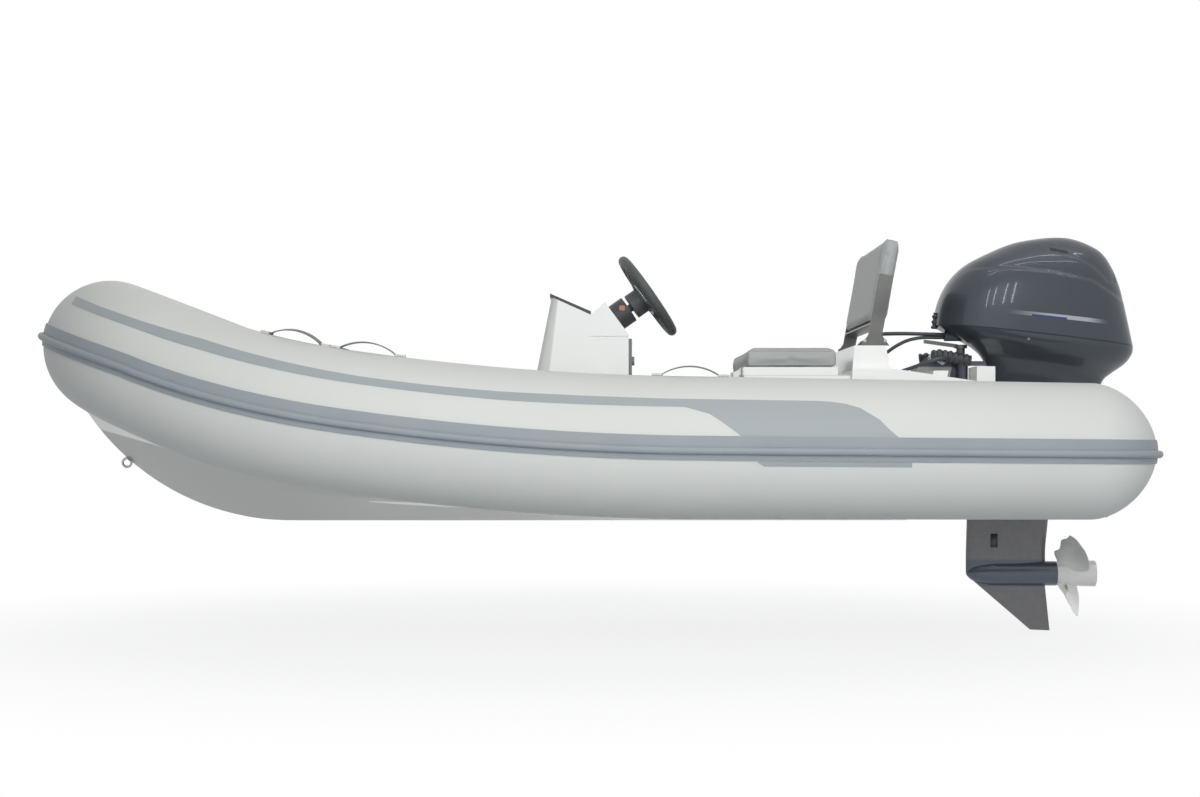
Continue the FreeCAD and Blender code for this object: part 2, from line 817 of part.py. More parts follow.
keep(solid("backrest_arms", backrest_arms()), "backrest_arms")


def pivot_plates():
    """Trapezoid foot plates on the box top, each with the pin that the arm turns on."""
    inner = size.pad_half + size.arm_gap + size.arm_thickness + size.running_gap
    outline = Part.makePolygon([
        Vector(size.pivot_x - size.plate_foot_half, inner, size.box_head_z),
        Vector(size.pivot_x + size.plate_foot_half, inner, size.box_head_z),
        Vector(size.pivot_x + size.plate_head_half, inner, size.pivot_z + size.plate_rise),
        Vector(size.pivot_x - size.plate_head_half, inner, size.pivot_z + size.plate_rise),
        Vector(size.pivot_x - size.plate_foot_half, inner, size.box_head_z),
    ])
    plate = Part.Face(outline).extrude(PORT * size.plate_thickness)
    pin_start = Vector(size.pivot_x, size.pad_half + size.arm_gap, size.pivot_z)
    pin = Part.makeCylinder(size.pivot_radius, size.arm_thickness + size.running_gap + size.plate_thickness,
                            pin_start, PORT)
    plate = plate.fuse(pin)
    return Part.makeCompound([plate, mirrored(plate)])


keep(solid("backrest_brackets", pivot_plates()), "backrest_brackets")

console_sizes = {
    "console_half": 285.0,
    "console_back": 1083.0,
    "console_toe": 1457.0,
    "console_front": 1343.0,
    "console_top": 642.0,
    "valley_x": 1210.0,
    "valley_z": 582.0,
    "pod_x": 1163.0,
    "pod_top": 624.0,
    "dash_z": 516.0,
    "console_chamfer": 26.0,
    "trim_thickness": 12.0,
    "trim_inset": 5.0,
    "trim_lip": 5.0,
    "panel_depth": 4.0,
    "panel_top": 510.0,
    "panel_crease_x": 1211.0,
    "panel_crease_z": 460.0,
    "panel_foot_x": 1092.0,
    "panel_foot_z": 289.0,
}
size.group("Console", console_sizes)

console = pad("console", "side", [
    ("console_back", "deck_top"),
    ("console_toe", "deck_top"),
    ("console_front", "console_top"),
    ("valley_x", "valley_z"),
    ("pod_x", "pod_top"),
    ("console_back", "dash_z"),
], "console_half * 2")


def front_corner(edge):
    """The long upright corners at the console's front."""
    return edge.BoundBox.XMin > size.valley_x and edge.BoundBox.YLength < 1 and edge.Length > size.deck_top * 4


round_edges(console, "console_chamfer", front_corner)


def side_panel(side):
    """The shallow sunk panel in the console's side, below the pod and behind a crease."""
    corners = [(size.console_back, size.panel_top), (size.panel_crease_x, size.panel_top),
               (size.panel_crease_x, size.panel_crease_z), (size.panel_foot_x, size.panel_foot_z),
               (size.console_back, size.panel_foot_z)]
    points = [Vector(across, size.console_half - size.panel_depth, height) for across, height in corners]
    block = Part.Face(Part.makePolygon(points + points[:1])).extrude(PORT * (size.panel_depth * 2))
    return block if side > 0 else mirrored(block)


console_panels = solid("console_panels", Part.makeCompound([side_panel(1), side_panel(-1)]))
keep(boolean("Cut", "console_body", console, console_panels), "console")

keep(pad("console_trim", "side", [
    ("valley_x", "valley_z + seat_gap"),
    ("console_front", "console_top + seat_gap"),
    ("console_front + trim_lip", "console_top + seat_gap"),
    ("console_front + trim_lip", "console_top + trim_thickness"),
    ("valley_x", "valley_z + trim_thickness"),
], "(console_half - trim_inset) * 2"), "console_trim")

console_hatch_sizes = {
    "hatch_low": 110.0,
    "hatch_high": 505.0,
    "hatch_half": 235.0,
    "hatch_thickness": 12.0,
    "latch_radius": 15.0,
    "latch_height": 9.0,
    "latch_z": 429.0,
    "latch_y": 205.0,
}
size.group("Console hatch", console_hatch_sizes)

hatch_panel = pad("hatch_panel", "side", [
    ("console_back - seat_gap", "hatch_low"),
    ("console_back - seat_gap", "hatch_high"),
    ("console_back - seat_gap - hatch_thickness", "hatch_high"),
    ("console_back - seat_gap - hatch_thickness", "hatch_low"),
], "hatch_half * 2")
round_edges(hatch_panel, "hatch_thickness * 2", runs_along(AHEAD))
latch_start = Vector(size.console_back - size.hatch_thickness, size.latch_y, size.latch_z)
latch = Part.makeCylinder(size.latch_radius, size.latch_height, latch_start, AHEAD * -1)
keep(boolean("Fuse", "console_hatch", hatch_panel, solid("hatch_latch", latch)), "console_hatch")

helm_sizes = {
    "wheel_x": 1011.0,
    "wheel_z": 665.0,
    "wheel_tilt": 35.0,
    "wheel_radius": 165.0,
    "rim_radius": 16.5,
    "hub_radius": 45.0,
    "hub_length": 54.0,
    "hub_drop": 14.0,
    "helm_gap": 12.0,
    "spoke_width": 30.0,
    "spoke_thickness": 12.0,
    "shaft_radius": 14.0,
    "helm_radius": 48.0,
    "helm_length": 70.0,
}
size.group("Helm", helm_sizes)

lean = math.radians(size.wheel_tilt)
WHEEL_AXIS = Vector(math.cos(lean), 0, -math.sin(lean))
WHEEL_UP = Vector(math.sin(lean), 0, math.cos(lean))
WHEEL_CENTRE = Vector(size.wheel_x, 0, size.wheel_z)


def wheel_rim():
    ring = Part.makeTorus(size.wheel_radius - size.rim_radius, size.rim_radius, WHEEL_CENTRE, WHEEL_AXIS)
    return ring


def wheel_spokes():
    """A dished centre: a boss ahead of the rim's plane and three spokes out to the rim."""
    hub_front = WHEEL_CENTRE + WHEEL_AXIS * size.hub_drop
    boss = Part.makeCylinder(size.hub_radius, size.hub_length, hub_front, WHEEL_AXIS)
    shapes = [boss]
    start = size.hub_radius * 0.5
    end = size.wheel_radius - size.rim_radius
    for turn in (90, 210, 330):
        sections = []
        for distance, depth, width in ((start, size.hub_drop + size.spoke_thickness, 1.2), (end, 0, 0.8)):
            outward = Rotation(WHEEL_AXIS, turn).multVec(PORT)
            across = WHEEL_AXIS.cross(outward)
            middle = WHEEL_CENTRE + outward * distance + WHEEL_AXIS * depth
            half = across * (size.spoke_width * width / 2)
            thick = WHEEL_AXIS * (size.spoke_thickness / 2)
            corners = [middle - half - thick, middle + half - thick, middle + half + thick, middle - half + thick]
            sections.append(Part.makePolygon(corners + corners[:1]))
        shapes.append(Part.makeLoft(sections, True, True))
    rim_room = Part.makeTorus(end, size.rim_radius + size.seat_gap, WHEEL_CENTRE, WHEEL_AXIS)
    bore_start = hub_front + WHEEL_AXIS * (size.hub_length / 2)
    bore = Part.makeCylinder(size.shaft_radius + size.pin_gap, size.hub_length, bore_start, WHEEL_AXIS)
    return joined(shapes).cut(rim_room).cut(bore)


keep(solid("wheel_rim", wheel_rim()), "wheel_rim")
keep(solid("wheel_spokes", wheel_spokes()), "wheel_spokes")


def helm_unit():
    """The helm behind the dash: a round housing and the shaft that carries the wheel."""
    hub_front = WHEEL_CENTRE + WHEEL_AXIS * size.hub_drop
    shaft_start = hub_front + WHEEL_AXIS * (size.hub_length / 2 + size.running_gap)
    housing_start = hub_front + WHEEL_AXIS * (size.hub_length + size.helm_gap)
    shaft = Part.makeCylinder(size.shaft_radius, size.hub_length + size.helm_length / 2, shaft_start, WHEEL_AXIS)
    housing = Part.makeCylinder(size.helm_radius, size.helm_length, housing_start, WHEEL_AXIS)
    return shaft.fuse(housing).cut(parts["console"].Shape)


keep(solid("helm", helm_unit()), "helm")

bow_locker_sizes = {
    "step_back": 2090.0,
    "step_back_half": 395.0,
    "step_front_half": 238.0,
    "step_top": 300.0,
    "step_wall": 16.0,
    "step_floor": 90.0,
    "bow_lid_thickness": 22.0,
    "bow_lid_inset": 6.0,
    "bow_cushion_thickness": 50.0,
    "bow_cushion_inset": 14.0,
    "locker_gap": 12.0,
}
size.group("Bow locker", bow_locker_sizes)

step_blank = pad("step_blank", "plan", [
    ("step_back", "-step_back_half"),
    ("locker_front - locker_gap", "-step_front_half"),
    ("locker_front - locker_gap", "step_front_half"),
    ("step_back", "step_back_half"),
], "step_top - deck_top", "(step_top + deck_top) / 2")
step_hole = pad("step_hole", "plan", [
    ("step_back + step_wall", "-step_back_half + step_wall"),
    ("locker_front - locker_gap - step_wall", "-step_front_half + step_wall"),
    ("locker_front - locker_gap - step_wall", "step_front_half - step_wall"),
    ("step_back + step_wall", "step_back_half - step_wall"),
], "step_top - step_floor + step_wall", "(step_top + step_floor + step_wall) / 2")
hull_room = solid("hull_room", hull_body(size.hull_wall + size.seat_gap * 2))
hole_room = solid("hole_room", hull_body(size.hull_wall + size.step_wall * 2))
step_solid = boolean("Common", "step_solid", step_blank, hull_room)
step_hollow = boolean("Common", "step_hollow", step_hole, hole_room)
step_clear = boolean("Cut", "step_clear", step_solid, tube_room)
keep(boolean("Cut", "bow_locker", step_clear, step_hollow), "bow_locker")

lid_outline = [
    ("step_back", "-step_back_half + bow_lid_inset * 2"),
    ("locker_front - locker_gap", "-step_front_half + bow_lid_inset * 2"),
    ("locker_front - locker_gap", "step_front_half - bow_lid_inset * 2"),
    ("step_back", "step_back_half - bow_lid_inset * 2"),
]
bow_lid = pad("bow_lid", "plan", lid_outline, "bow_lid_thickness", "step_top + lid_gap + bow_lid_thickness / 2")
keep(bow_lid, "bow_lid")
bow_cushion = pad("bow_cushion", "plan", [
    ("step_back + bow_cushion_inset", "-step_back_half + bow_cushion_inset * 2"),
    ("locker_front - locker_gap - bow_cushion_inset", "-step_front_half + bow_cushion_inset * 2"),
    ("locker_front - locker_gap - bow_cushion_inset", "step_front_half - bow_cushion_inset * 2"),
    ("step_back + bow_cushion_inset", "step_back_half - bow_cushion_inset * 2"),
], "bow_cushion_thickness", "step_top + lid_gap + bow_lid_thickness + bow_cushion_thickness / 2")
keep(bow_cushion, "bow_cushion")

bow_hinge_line = Vector(size.step_back - size.hinge_radius - size.seat_gap, 0, size.step_top)
bow_fixed, bow_moving = hinge_pair(bow_hinge_line, size.seat_hinge_side, -1)
keep(solid("bow_hinges", bow_fixed), "bow_hinges")
keep(solid("bow_lid_hinges", bow_moving), "bow_lid_hinges")

deck_fittings_sizes = {
    "eye_z": 92.0,
    "eye_radius": 15.0,
    "eye_wire": 4.5,
    "eye_bore": 10.8,
    "eye_plate": 2.0,
    "eye_plate_radius": 14.0,
    "stern_eye_y": 320.0,
    "stern_eye_z": 215.0,
    "handle_length": 180.0,
    "handle_rise": 29.0,
    "handle_width": 28.0,
    "handle_thickness": 7.0,
    "handle_foot": 34.0,
    "handle_bow": 2587.0,
    "handle_mid": 2333.0,
    "handle_aft": 1274.0,
}
size.group("Deck fittings", deck_fittings_sizes)


def stem_at(height):
    """The stem's point and outward direction at a height."""
    turn = math.acos(1 - (height - size.keel_z) / size.stem_radius)
    point = Vector(size.forefoot_x + size.stem_radius * math.sin(turn), 0, height)
    return point, Vector(math.sin(turn), 0, -math.cos(turn))


def eye(point, outward, across):
    """A ring bolt: a base plate, and a ring with a flat-walled bore that stands out from it."""
    plate = Part.makeCylinder(size.eye_plate_radius, size.eye_plate, point + outward * size.seat_gap, outward)
    centre = point + outward * (size.eye_plate + size.eye_bore + size.seat_gap * 2)
    ring = Part.makeTorus(size.eye_radius, size.eye_wire, centre, across)
    bore = Part.makeCylinder(size.eye_bore, size.eye_wire * 4, centre - across * (size.eye_wire * 2), across)
    behind = Part.makeCylinder(size.eye_radius * 2, size.eye_radius * 2, point + outward * size.seat_gap, outward * -1)
    return plate.fuse(ring.cut(bore).cut(behind))


stem_point, stem_out = stem_at(size.eye_z)
keep(solid("bow_eye", eye(stem_point, stem_out, PORT)), "bow_eye")

transom_out = Vector(-math.cos(math.radians(size.transom_rake)), 0, -math.sin(math.radians(size.transom_rake)))
transom_face = Vector(transom_x(size.stern_eye_z), size.stern_eye_y, size.stern_eye_z)
stern_eye = eye(transom_face, transom_out, transom_out.cross(PORT))
keep(solid("stern_eyes", Part.makeCompound([stern_eye, mirrored(stern_eye)])), "stern_eyes")


def crown_frame(distance):
    """Where a fitting sits on the tube's crown, and the turn that lays it along the tube."""
    point, direction = on_line(distance)
    level = direction.cross(UP).cross(direction).normalize()
    sideways = level.cross(direction).normalize()
    crown = point + level * (radius_at(distance) + size.seat_gap)
    return Placement(crown, Rotation(direction, sideways, level, "XZY"))


def handle(distance):
    """A flat webbing grip: two feet glued on the tube's crown and an arch between them."""
    half_width = size.handle_width / 2
    thick = size.handle_thickness
    ends = []
    feet = []
    for side in (-1, 1):
        frame = crown_frame(distance + side * (size.handle_length + size.handle_foot) / 2)
        corner = Vector(-size.handle_foot / 2, -half_width, 0)
        foot = Part.makeBox(size.handle_foot, size.handle_width, thick, corner)
        foot.Placement = frame.multiply(foot.Placement)
        feet.append(foot)
        ends.append(crown_frame(distance + side * size.handle_length / 2))
    middle = crown_frame(distance)
    lift = Vector(0, 0, thick / 2)
    low = [frame.multVec(lift) for frame in ends]
    top = middle.multVec(Vector(0, 0, size.handle_rise))
    along = (low[1] - low[0]).normalize()
    across = (top - low[0]).cross(along).normalize()
    inner = Part.Arc(low[0], top, low[1])
    up = along.cross(across) * (thick * 0.6)
    outer = Part.Arc(low[1] + up, top + up, low[0] + up)
    outline = Part.Wire([
        inner.toShape(),
        Part.LineSegment(low[1], low[1] + up).toShape(),
        outer.toShape(),
        Part.LineSegment(low[0] + up, low[0]).toShape(),
    ])
    arch = Part.Face(outline).extrude(across * size.handle_width)
    arch.translate(across * -half_width)
    return joined(feet + [arch])


def handles():
    return [handle(distance) for distance in
            (size.handle_bow, size.handle_mid, size.handle_aft)]


keep(solid("grab_handles_port", Part.makeCompound(handles())), "grab_handles_port")
keep(solid("grab_handles_starboard", mirrored(Part.makeCompound(handles()))), "grab_handles_starboard")

outboard_mounting_sizes = {
    "tilt_x": -5.0,
    "tilt_z": 442.0,
    "tilt_radius": 14.0,
    "nut_radius": 22.0,
    "nut_length": 11.0,
    "bracket_inner": 62.0,
    "bracket_outer": 98.0,
    "bracket_width": 22.0,
    "bracket_wall": 16.0,
    "bracket_foot_z": 150.0,
    "bracket_nose": 34.0,
    "jaw_depth": 28.0,
    "jaw_z": 325.0,
    "swivel_x": -85.0,
    "swivel_radius": 26.0,
    "swivel_low": 60.0,
    "swivel_high": 420.0,
    "steer_pin": 15.0,
    "yoke_height": 16.0,
    "yoke_half": 24.0,
    "tiller_z": 482.0,
    "tiller_height": 12.0,
    "tiller_half": 11.0,
    "tiller_reach": 128.0,
    "tiller_rise": 18.0,
}
size.group("Outboard mounting", outboard_mounting_sizes)

TILT = Vector(size.tilt_x, 0, size.tilt_z)


def clamp_bracket():
    """One side of the clamp: it hooks over the transom and carries the tilt tube."""
    gap = size.seat_gap
    front = size.transom_thickness + gap
    top = size.transom_height + gap
    corners = [
        (transom_x(size.jaw_z, front), size.jaw_z),
        (transom_x(top, front), top),
        (transom_x(top, -gap), top),
        (transom_x(size.bracket_foot_z, -gap), size.bracket_foot_z),
        (transom_x(size.bracket_foot_z, -size.bracket_nose), size.bracket_foot_z),
        (size.tilt_x - size.bracket_nose, size.tilt_z - size.bracket_nose),
        (size.tilt_x - size.bracket_nose, size.tilt_z + size.tilt_radius),
        (size.tilt_x, size.tilt_z + size.tilt_radius * 2),
        (transom_x(top, front + size.jaw_depth), top + size.jaw_depth / 2),
        (transom_x(size.jaw_z, front + size.jaw_depth), size.jaw_z),
    ]
    points = [Vector(across, size.bracket_inner, height) for across, height in corners]
    plate = Part.Face(Part.makePolygon(points + points[:1])).extrude(PORT * size.bracket_width)
    bore = Part.makeCylinder(size.tilt_radius + size.pin_gap, size.bracket_outer * 2,
                             Vector(size.tilt_x, 0, size.tilt_z), PORT)
    return plate.cut(bore)


keep(solid("clamp_brackets", Part.makeCompound([clamp_bracket(), mirrored(clamp_bracket())])), "clamp_brackets")

tube_end = size.bracket_inner + size.bracket_width + size.tilt_radius
tilt_tube = Part.makeCylinder(size.tilt_radius, tube_end * 2, TILT - PORT * tube_end, PORT)
nut_start = size.bracket_inner + size.bracket_width + size.seat_gap
nut_outline = Part.makePolygon([
    TILT + PORT * nut_start + Rotation(PORT, 60 * corner).multVec(UP) * size.nut_radius for corner in range(7)
])
tilt_nut = Part.Face(nut_outline).extrude(PORT * size.nut_length)
tilt_tube = joined([tilt_tube, tilt_nut, mirrored(tilt_nut)])
keep(solid("tilt_tube", tilt_tube), "tilt_tube")


def swivel_bracket():
    """The barrel round the steering pin, and the arm that hangs it from the tilt tube."""
    width = (size.bracket_inner - size.running_gap * 4) * 2
    barrel_base = Vector(size.swivel_x, 0, size.swivel_low)
    barrel = Part.makeCylinder(size.swivel_radius, size.swivel_high - size.swivel_low, barrel_base, UP)
    boss = Part.makeCylinder(size.tilt_radius * 2, width, TILT - PORT * (width / 2), PORT)
    reach = size.tilt_x - size.swivel_x
    low = size.swivel_low + size.swivel_radius * 2
    shoulder = size.swivel_high - size.swivel_radius
    corners = [Vector(size.swivel_x, 0, shoulder), Vector(size.tilt_x, 0, size.tilt_z + size.tilt_radius),
               Vector(size.tilt_x, 0, size.tilt_z - size.tilt_radius * 2), Vector(size.swivel_x, 0, low)]
    web = Part.Face(Part.makePolygon(corners + corners[:1])).extrude(PORT * (size.swivel_radius * 1.2))
    web.translate(PORT * (-size.swivel_radius * 0.6))
    shape = joined([barrel, web, boss])
    tilt_bore = Part.makeCylinder(size.tilt_radius + size.pin_gap, width * 2, TILT - PORT * width, PORT)
    pin_bore = Part.makeCylinder(size.steer_pin + size.pin_gap, size.swivel_high * 3,
                                 Vector(size.swivel_x, 0, -size.swivel_high), UP)
    return shape.cut(tilt_bore).cut(pin_bore)


keep(solid("swivel_bracket", swivel_bracket()), "swivel_bracket")

outboard_sizes = {
    "seam_front_x": -2.0,
    "seam_front_z": 560.0,
    "seam_back_x": -675.0,
    "seam_back_z": 484.0,
    "cowl_half": 212.0,
    "cowl_wall": 8.0,
    "cowl_top": 868.0,
    "leg_high_z": 320.0,
    "leg_low_z": -70.0,
    "leg_front": -107.0,
    "leg_back": -392.0,
    "plate_z": -100.0,
    "plate_half": 105.0,
    "plate_back": -600.0,
    "prop_z": -306.0,
    "torpedo_front": -104.0,
    "torpedo_back": -417.0,
    "torpedo_radius": 43.0,
    "skeg_low": -502.0,
    "skeg_thickness": 14.0,
    "leg_half": 30.0,
    "power_front": -170.0,
    "power_back": -540.0,
    "power_half": 130.0,
    "power_low": 490.0,
    "power_top": 750.0,
}
size.group("Outboard", outboard_sizes)


def rounded_outline(front, back, half, squareness):
    """A closed level-to-slanted outline: a superellipse between two centreline points."""
    middle = (front + back) * 0.5
    reach = (front - back) * 0.5
    points = []
    count = 20
    for index in range(count):
        turn = 2 * math.pi * index / count
        along = math.copysign(abs(math.cos(turn)) ** (2 / squareness), math.cos(turn))
        aside = math.copysign(abs(math.sin(turn)) ** (2 / squareness), math.sin(turn))
        points.append(middle + reach * along + PORT * (half * aside))
    curve = Part.BSplineCurve()
    curve.interpolate(points, PeriodicFlag=True)
    return Part.Wire(curve.toShape())


def lofted(levels):
    """A loft through outlines given as (front x, z, back x, z, half width, squareness)."""
    outlines = []
    for front_x, front_z, back_x, back_z, half, squareness in levels:
        outlines.append(rounded_outline(Vector(front_x, 0, front_z), Vector(back_x, 0, back_z), half, squareness))
    return Part.makeLoft(outlines, True, False)


def cowl_levels(inset):
    """The cowl's outlines from the seam to the crown, drawn in by a wall's thickness."""
    levels = [
        (size.seam_front_x, size.seam_front_z, size.seam_back_x, size.seam_back_z, size.cowl_half, 2.9),
        (-18, 640, -650, 605, size.cowl_half - 2, 2.8),
        (-54, 710, -630, 695, size.cowl_half - 14, 2.7),
        (-104, 768, -602, 768, size.cowl_half - 40, 2.6),
        (-182, 815, -570, 815, size.cowl_half - 80, 2.5),
        (-265, 848, -520, 846, size.cowl_half - 122, 2.3),
        (-350, size.cowl_top - 4, -470, size.cowl_top - 4, size.cowl_half - 165, 2.0),
    ]
    return [(front_x - inset, front_z - inset, back_x + inset, back_z - inset, half - inset, squareness)
            for front_x, front_z, back_x, back_z, half, squareness in levels]


keep(solid("cowl", lofted(cowl_levels(0)).cut(lofted(cowl_levels(size.cowl_wall)))), "cowl")
pan_shape = lofted([
    (size.seam_front_x, size.seam_front_z, size.seam_back_x, size.seam_back_z, size.cowl_half - 2, 2.9),
    (-52, 528, -672, 458, size.cowl_half - 6, 2.8),
    (-118, 492, -650, 425, size.cowl_half - 40, 2.7),
    (-160, 450, -606, 392, size.cowl_half - 88, 2.5),
    (-180, 392, -580, 368, size.cowl_half - 118, 2.4),
    (-186, size.leg_high_z, -560, size.leg_high_z, size.cowl_half - 132, 2.4),
])
keep(solid("cowl_pan", pan_shape), "cowl_pan")

power = Part.makeBox(size.power_front - size.power_back, size.power_half * 2, size.power_top - size.power_low,
                     Vector(size.power_back, -size.power_half, size.power_low))
keep(solid("powerhead", power.cut(pan_shape)), "powerhead")

leg_shape = lofted([
    (-186, size.leg_high_z, -545, size.leg_high_z, 74, 2.4),
    (-152, 200, -490, 200, 58, 2.4),
    (-136, 60, -440, 60, 44, 2.3),
    (size.leg_front, size.leg_low_z, size.leg_back, size.leg_low_z, size.leg_half + 6, 2.2),
])
keep(solid("leg", leg_shape), "leg")


def lower_unit():
    """The gearcase: strut, torpedo, plate above the propeller, and skeg."""
    strut = lofted([
        (size.leg_front, size.leg_low_z, size.leg_back, size.leg_low_z, size.leg_half + 6, 2.2),
        (size.leg_front, size.plate_z, size.leg_back, size.plate_z, size.leg_half, 2.2),
        (size.leg_front + 3, -230, size.leg_back + 11, -230, size.leg_half - 8, 2.1),
        (size.leg_front + 3, size.prop_z, size.leg_back + 5, size.prop_z, size.leg_half - 6, 2.1),
    ])
    nose = 110
    profile = Part.BSplineCurve()
    profile.interpolate([
        Vector(size.torpedo_front, 0, size.prop_z),
        Vector(size.torpedo_front - 14, 0, size.prop_z + size.torpedo_radius * 0.45),
        Vector(size.torpedo_front - 50, 0, size.prop_z + size.torpedo_radius * 0.8),
        Vector(size.torpedo_front - nose, 0, size.prop_z + size.torpedo_radius * 0.98),
        Vector(size.torpedo_front - nose * 1.8, 0, size.prop_z + size.torpedo_radius),
    ])
    shoulder = Vector(size.torpedo_front - nose * 1.8, 0, size.prop_z + size.torpedo_radius)
    rear = Vector(size.torpedo_back, 0, size.prop_z + size.torpedo_radius)
    axis_end = Vector(size.torpedo_back, 0, size.prop_z)
    outline = Part.Wire([
        profile.toShape(),
        Part.LineSegment(shoulder, rear).toShape(),
        Part.LineSegment(rear, axis_end).toShape(),
        Part.LineSegment(axis_end, Vector(size.torpedo_front, 0, size.prop_z)).toShape(),
    ])
    torpedo = Part.Face(outline).revolve(axis_end, AHEAD, 360)
    half = size.skeg_thickness / 2
    skeg_points = [Vector(-104, -half, -310), Vector(-327, -half, size.skeg_low), Vector(-395, -half, size.skeg_low - 3),
                   Vector(-376, -half, -320)]
    skeg = Part.Face(Part.makePolygon(skeg_points + skeg_points[:1])).extrude(PORT * size.skeg_thickness)
    plate_outline = Part.Face(rounded_outline(Vector(size.leg_front + 6, 0, size.plate_z),
                                              Vector(size.plate_back, 0, size.plate_z), size.plate_half, 2.4))
    plate = plate_outline.extrude(UP * -8)
    return joined([strut, torpedo, skeg, plate])


keep(solid("lower_unit", lower_unit()), "lower_unit")


def swivel_pin():
    """The steering pin with an upper and a lower yoke that hold the leg and the pan."""
    low = size.swivel_low - size.running_gap - size.yoke_height
    foot = Vector(size.swivel_x, 0, low)
    shape = Part.makeCylinder(size.steer_pin, size.tiller_z + size.tiller_height - low, foot, UP)
    half = size.yoke_half
    for height, behind in ((low, size.leg_front - 45), (size.swivel_high + size.running_gap, size.leg_front - 90)):
        disc_end = Part.makeCylinder(half, size.yoke_height, Vector(size.swivel_x, 0, height), UP)
        arm = Part.makeBox(size.swivel_x - behind, half * 2, size.yoke_height, Vector(behind, -half, height))
        shape = shape.fuse(disc_end).fuse(arm)
    return shape.removeSplitter().cut(pan_shape).cut(leg_shape)


keep(solid("swivel_pin", swivel_pin()), "swivel_pin")


def steering_arm():
    """The bar that the steering cable pushes, clamped on the head of the steering pin."""
    half = size.tiller_half
    rise = Vector(size.tiller_reach, 0, size.tiller_rise)
    corners = [Vector(0, 0, 0), rise, rise + UP * size.tiller_height, UP * size.tiller_height]
    bar = Part.Face(Part.makePolygon(corners + corners[:1])).extrude(PORT * (half * 2))
    bar.translate(Vector(size.swivel_x, -half, size.tiller_z))
    clamp = Part.makeCylinder(size.steer_pin + half * 0.7, size.tiller_height, Vector(size.swivel_x, 0, size.tiller_z), UP)
    pin = Part.makeCylinder(size.steer_pin, size.tiller_height * 4, Vector(size.swivel_x, 0, size.tiller_z - size.tiller_height), UP)
    return bar.fuse(clamp).cut(pin)


keep(solid("steering_arm", steering_arm()), "steering_arm")

propeller_sizes = {
    "prop_radius": 150.0,
    "prop_hub": 46.0,
    "prop_front": -417.5,
    "prop_back": -553.0,
    "blade_x": -448.0,
    "blade_rake": 33.0,
    "blade_count": 3.0,
    "blade_pitch": 370.0,
    "blade_first": 75.0,
}
size.group("Propeller", propeller_sizes)


def blade(turn):
    """One blade: rounded sections whose slant falls off towards the tip, as a screw's does."""
    sections = []
    for share, chord, thick in ((0.22, 84, 14), (0.45, 130, 10), (0.7, 148, 7), (0.88, 122, 5), (0.98, 60, 3)):
        radius = size.prop_radius * share
        slant = math.atan2(size.blade_pitch, 2 * math.pi * radius)
        along = Vector(math.sin(slant), -math.cos(slant), 0)
        across = Vector(-math.cos(slant), -math.sin(slant), 0)
        centre = Vector(size.blade_x - size.blade_rake * share, 0, radius)
        outline = Part.Ellipse(centre + along * (chord / 2), centre + across * (thick / 2), centre)
        sections.append(Part.Wire(outline.toShape()))
    shape = Part.makeLoft(sections, True, False)
    shape.rotate(ORIGIN, AHEAD, turn)
    return shape


def propeller():
    length = size.prop_front - size.prop_back
    hub = Part.makeCone(size.prop_hub * 0.9, size.prop_hub, length, Vector(size.prop_front, 0, 0), AHEAD * -1)
    bore = Part.makeCylinder(size.prop_hub * 0.74, length / 3, Vector(size.prop_back - 1, 0, 0), AHEAD)
    count = int(size.blade_count)
    blades = [blade(size.blade_first + 360 * index / count) for index in range(count)]
    shape = joined([hub] + blades).cut(bore)
    shape.translate(UP * size.prop_z)
    return shape


keep(solid("propeller", propeller()), "propeller")

cables_sizes = {
    "hood_foot": 2.0,
    "hood_x": 262.0,
    "hood_front": 290.0,
    "hood_rise": 32.0,
    "gland_z": 448.0,
    "gland_half": 34.0,
    "gland_height": 36.0,
    "gland_thickness": 7.0,
    "boot_radius": 17.0,
    "boot_front": -28.0,
    "boot_z": 524.0,
    "control_radius": 6.0,
    "control_level": 532.0,
    "throttle_radius": 6.0,
    "steering_radius": 6.0,
    "steering_sleeve": 10.0,
    "sleeve_length": 46.0,
}
size.group("Cables", cables_sizes)

BOX_BACK = Vector(size.box_foot_z - size.box_head_z, 0, size.box_head_back - size.box_foot_back).normalize()


def box_back(height):
    """A point on the rear box's slanted aft face."""
    share = (height - size.box_foot_z) / (size.box_head_z - size.box_foot_z)
    return Vector(size.box_foot_back + (size.box_head_back - size.box_foot_back) * share, 0, height)


def cable(points, radius):
    """A round cable along a route whose arcs are as large as the runs allow."""
    runs = [(after - before).Length for before, after in zip(points, points[1:])]
    tangents = [min(before, after) * 0.45 for before, after in zip(runs, runs[1:])]
    route = rounded_route(points, tangents)
    ends = [(points[0], points[0] - points[1]), (points[-1], points[-1] - points[-2])]
    faces = [tube_skin(stretch, radius, radius) for stretch in route]
    faces += [Part.Face(Part.Wire(Part.makeCircle(radius, point, outward))) for point, outward in ends]
    return closed(faces)


gland = Part.makeBox(size.gland_height, size.gland_half * 2, size.gland_thickness,
                     Vector(-size.gland_height / 2, -size.gland_half, 0))
gland_up = PORT.cross(BOX_BACK)
gland.Placement = Placement(box_back(size.gland_z) + BOX_BACK * size.seat_gap,
                            Rotation(gland_up, PORT, BOX_BACK, "XYZ"))

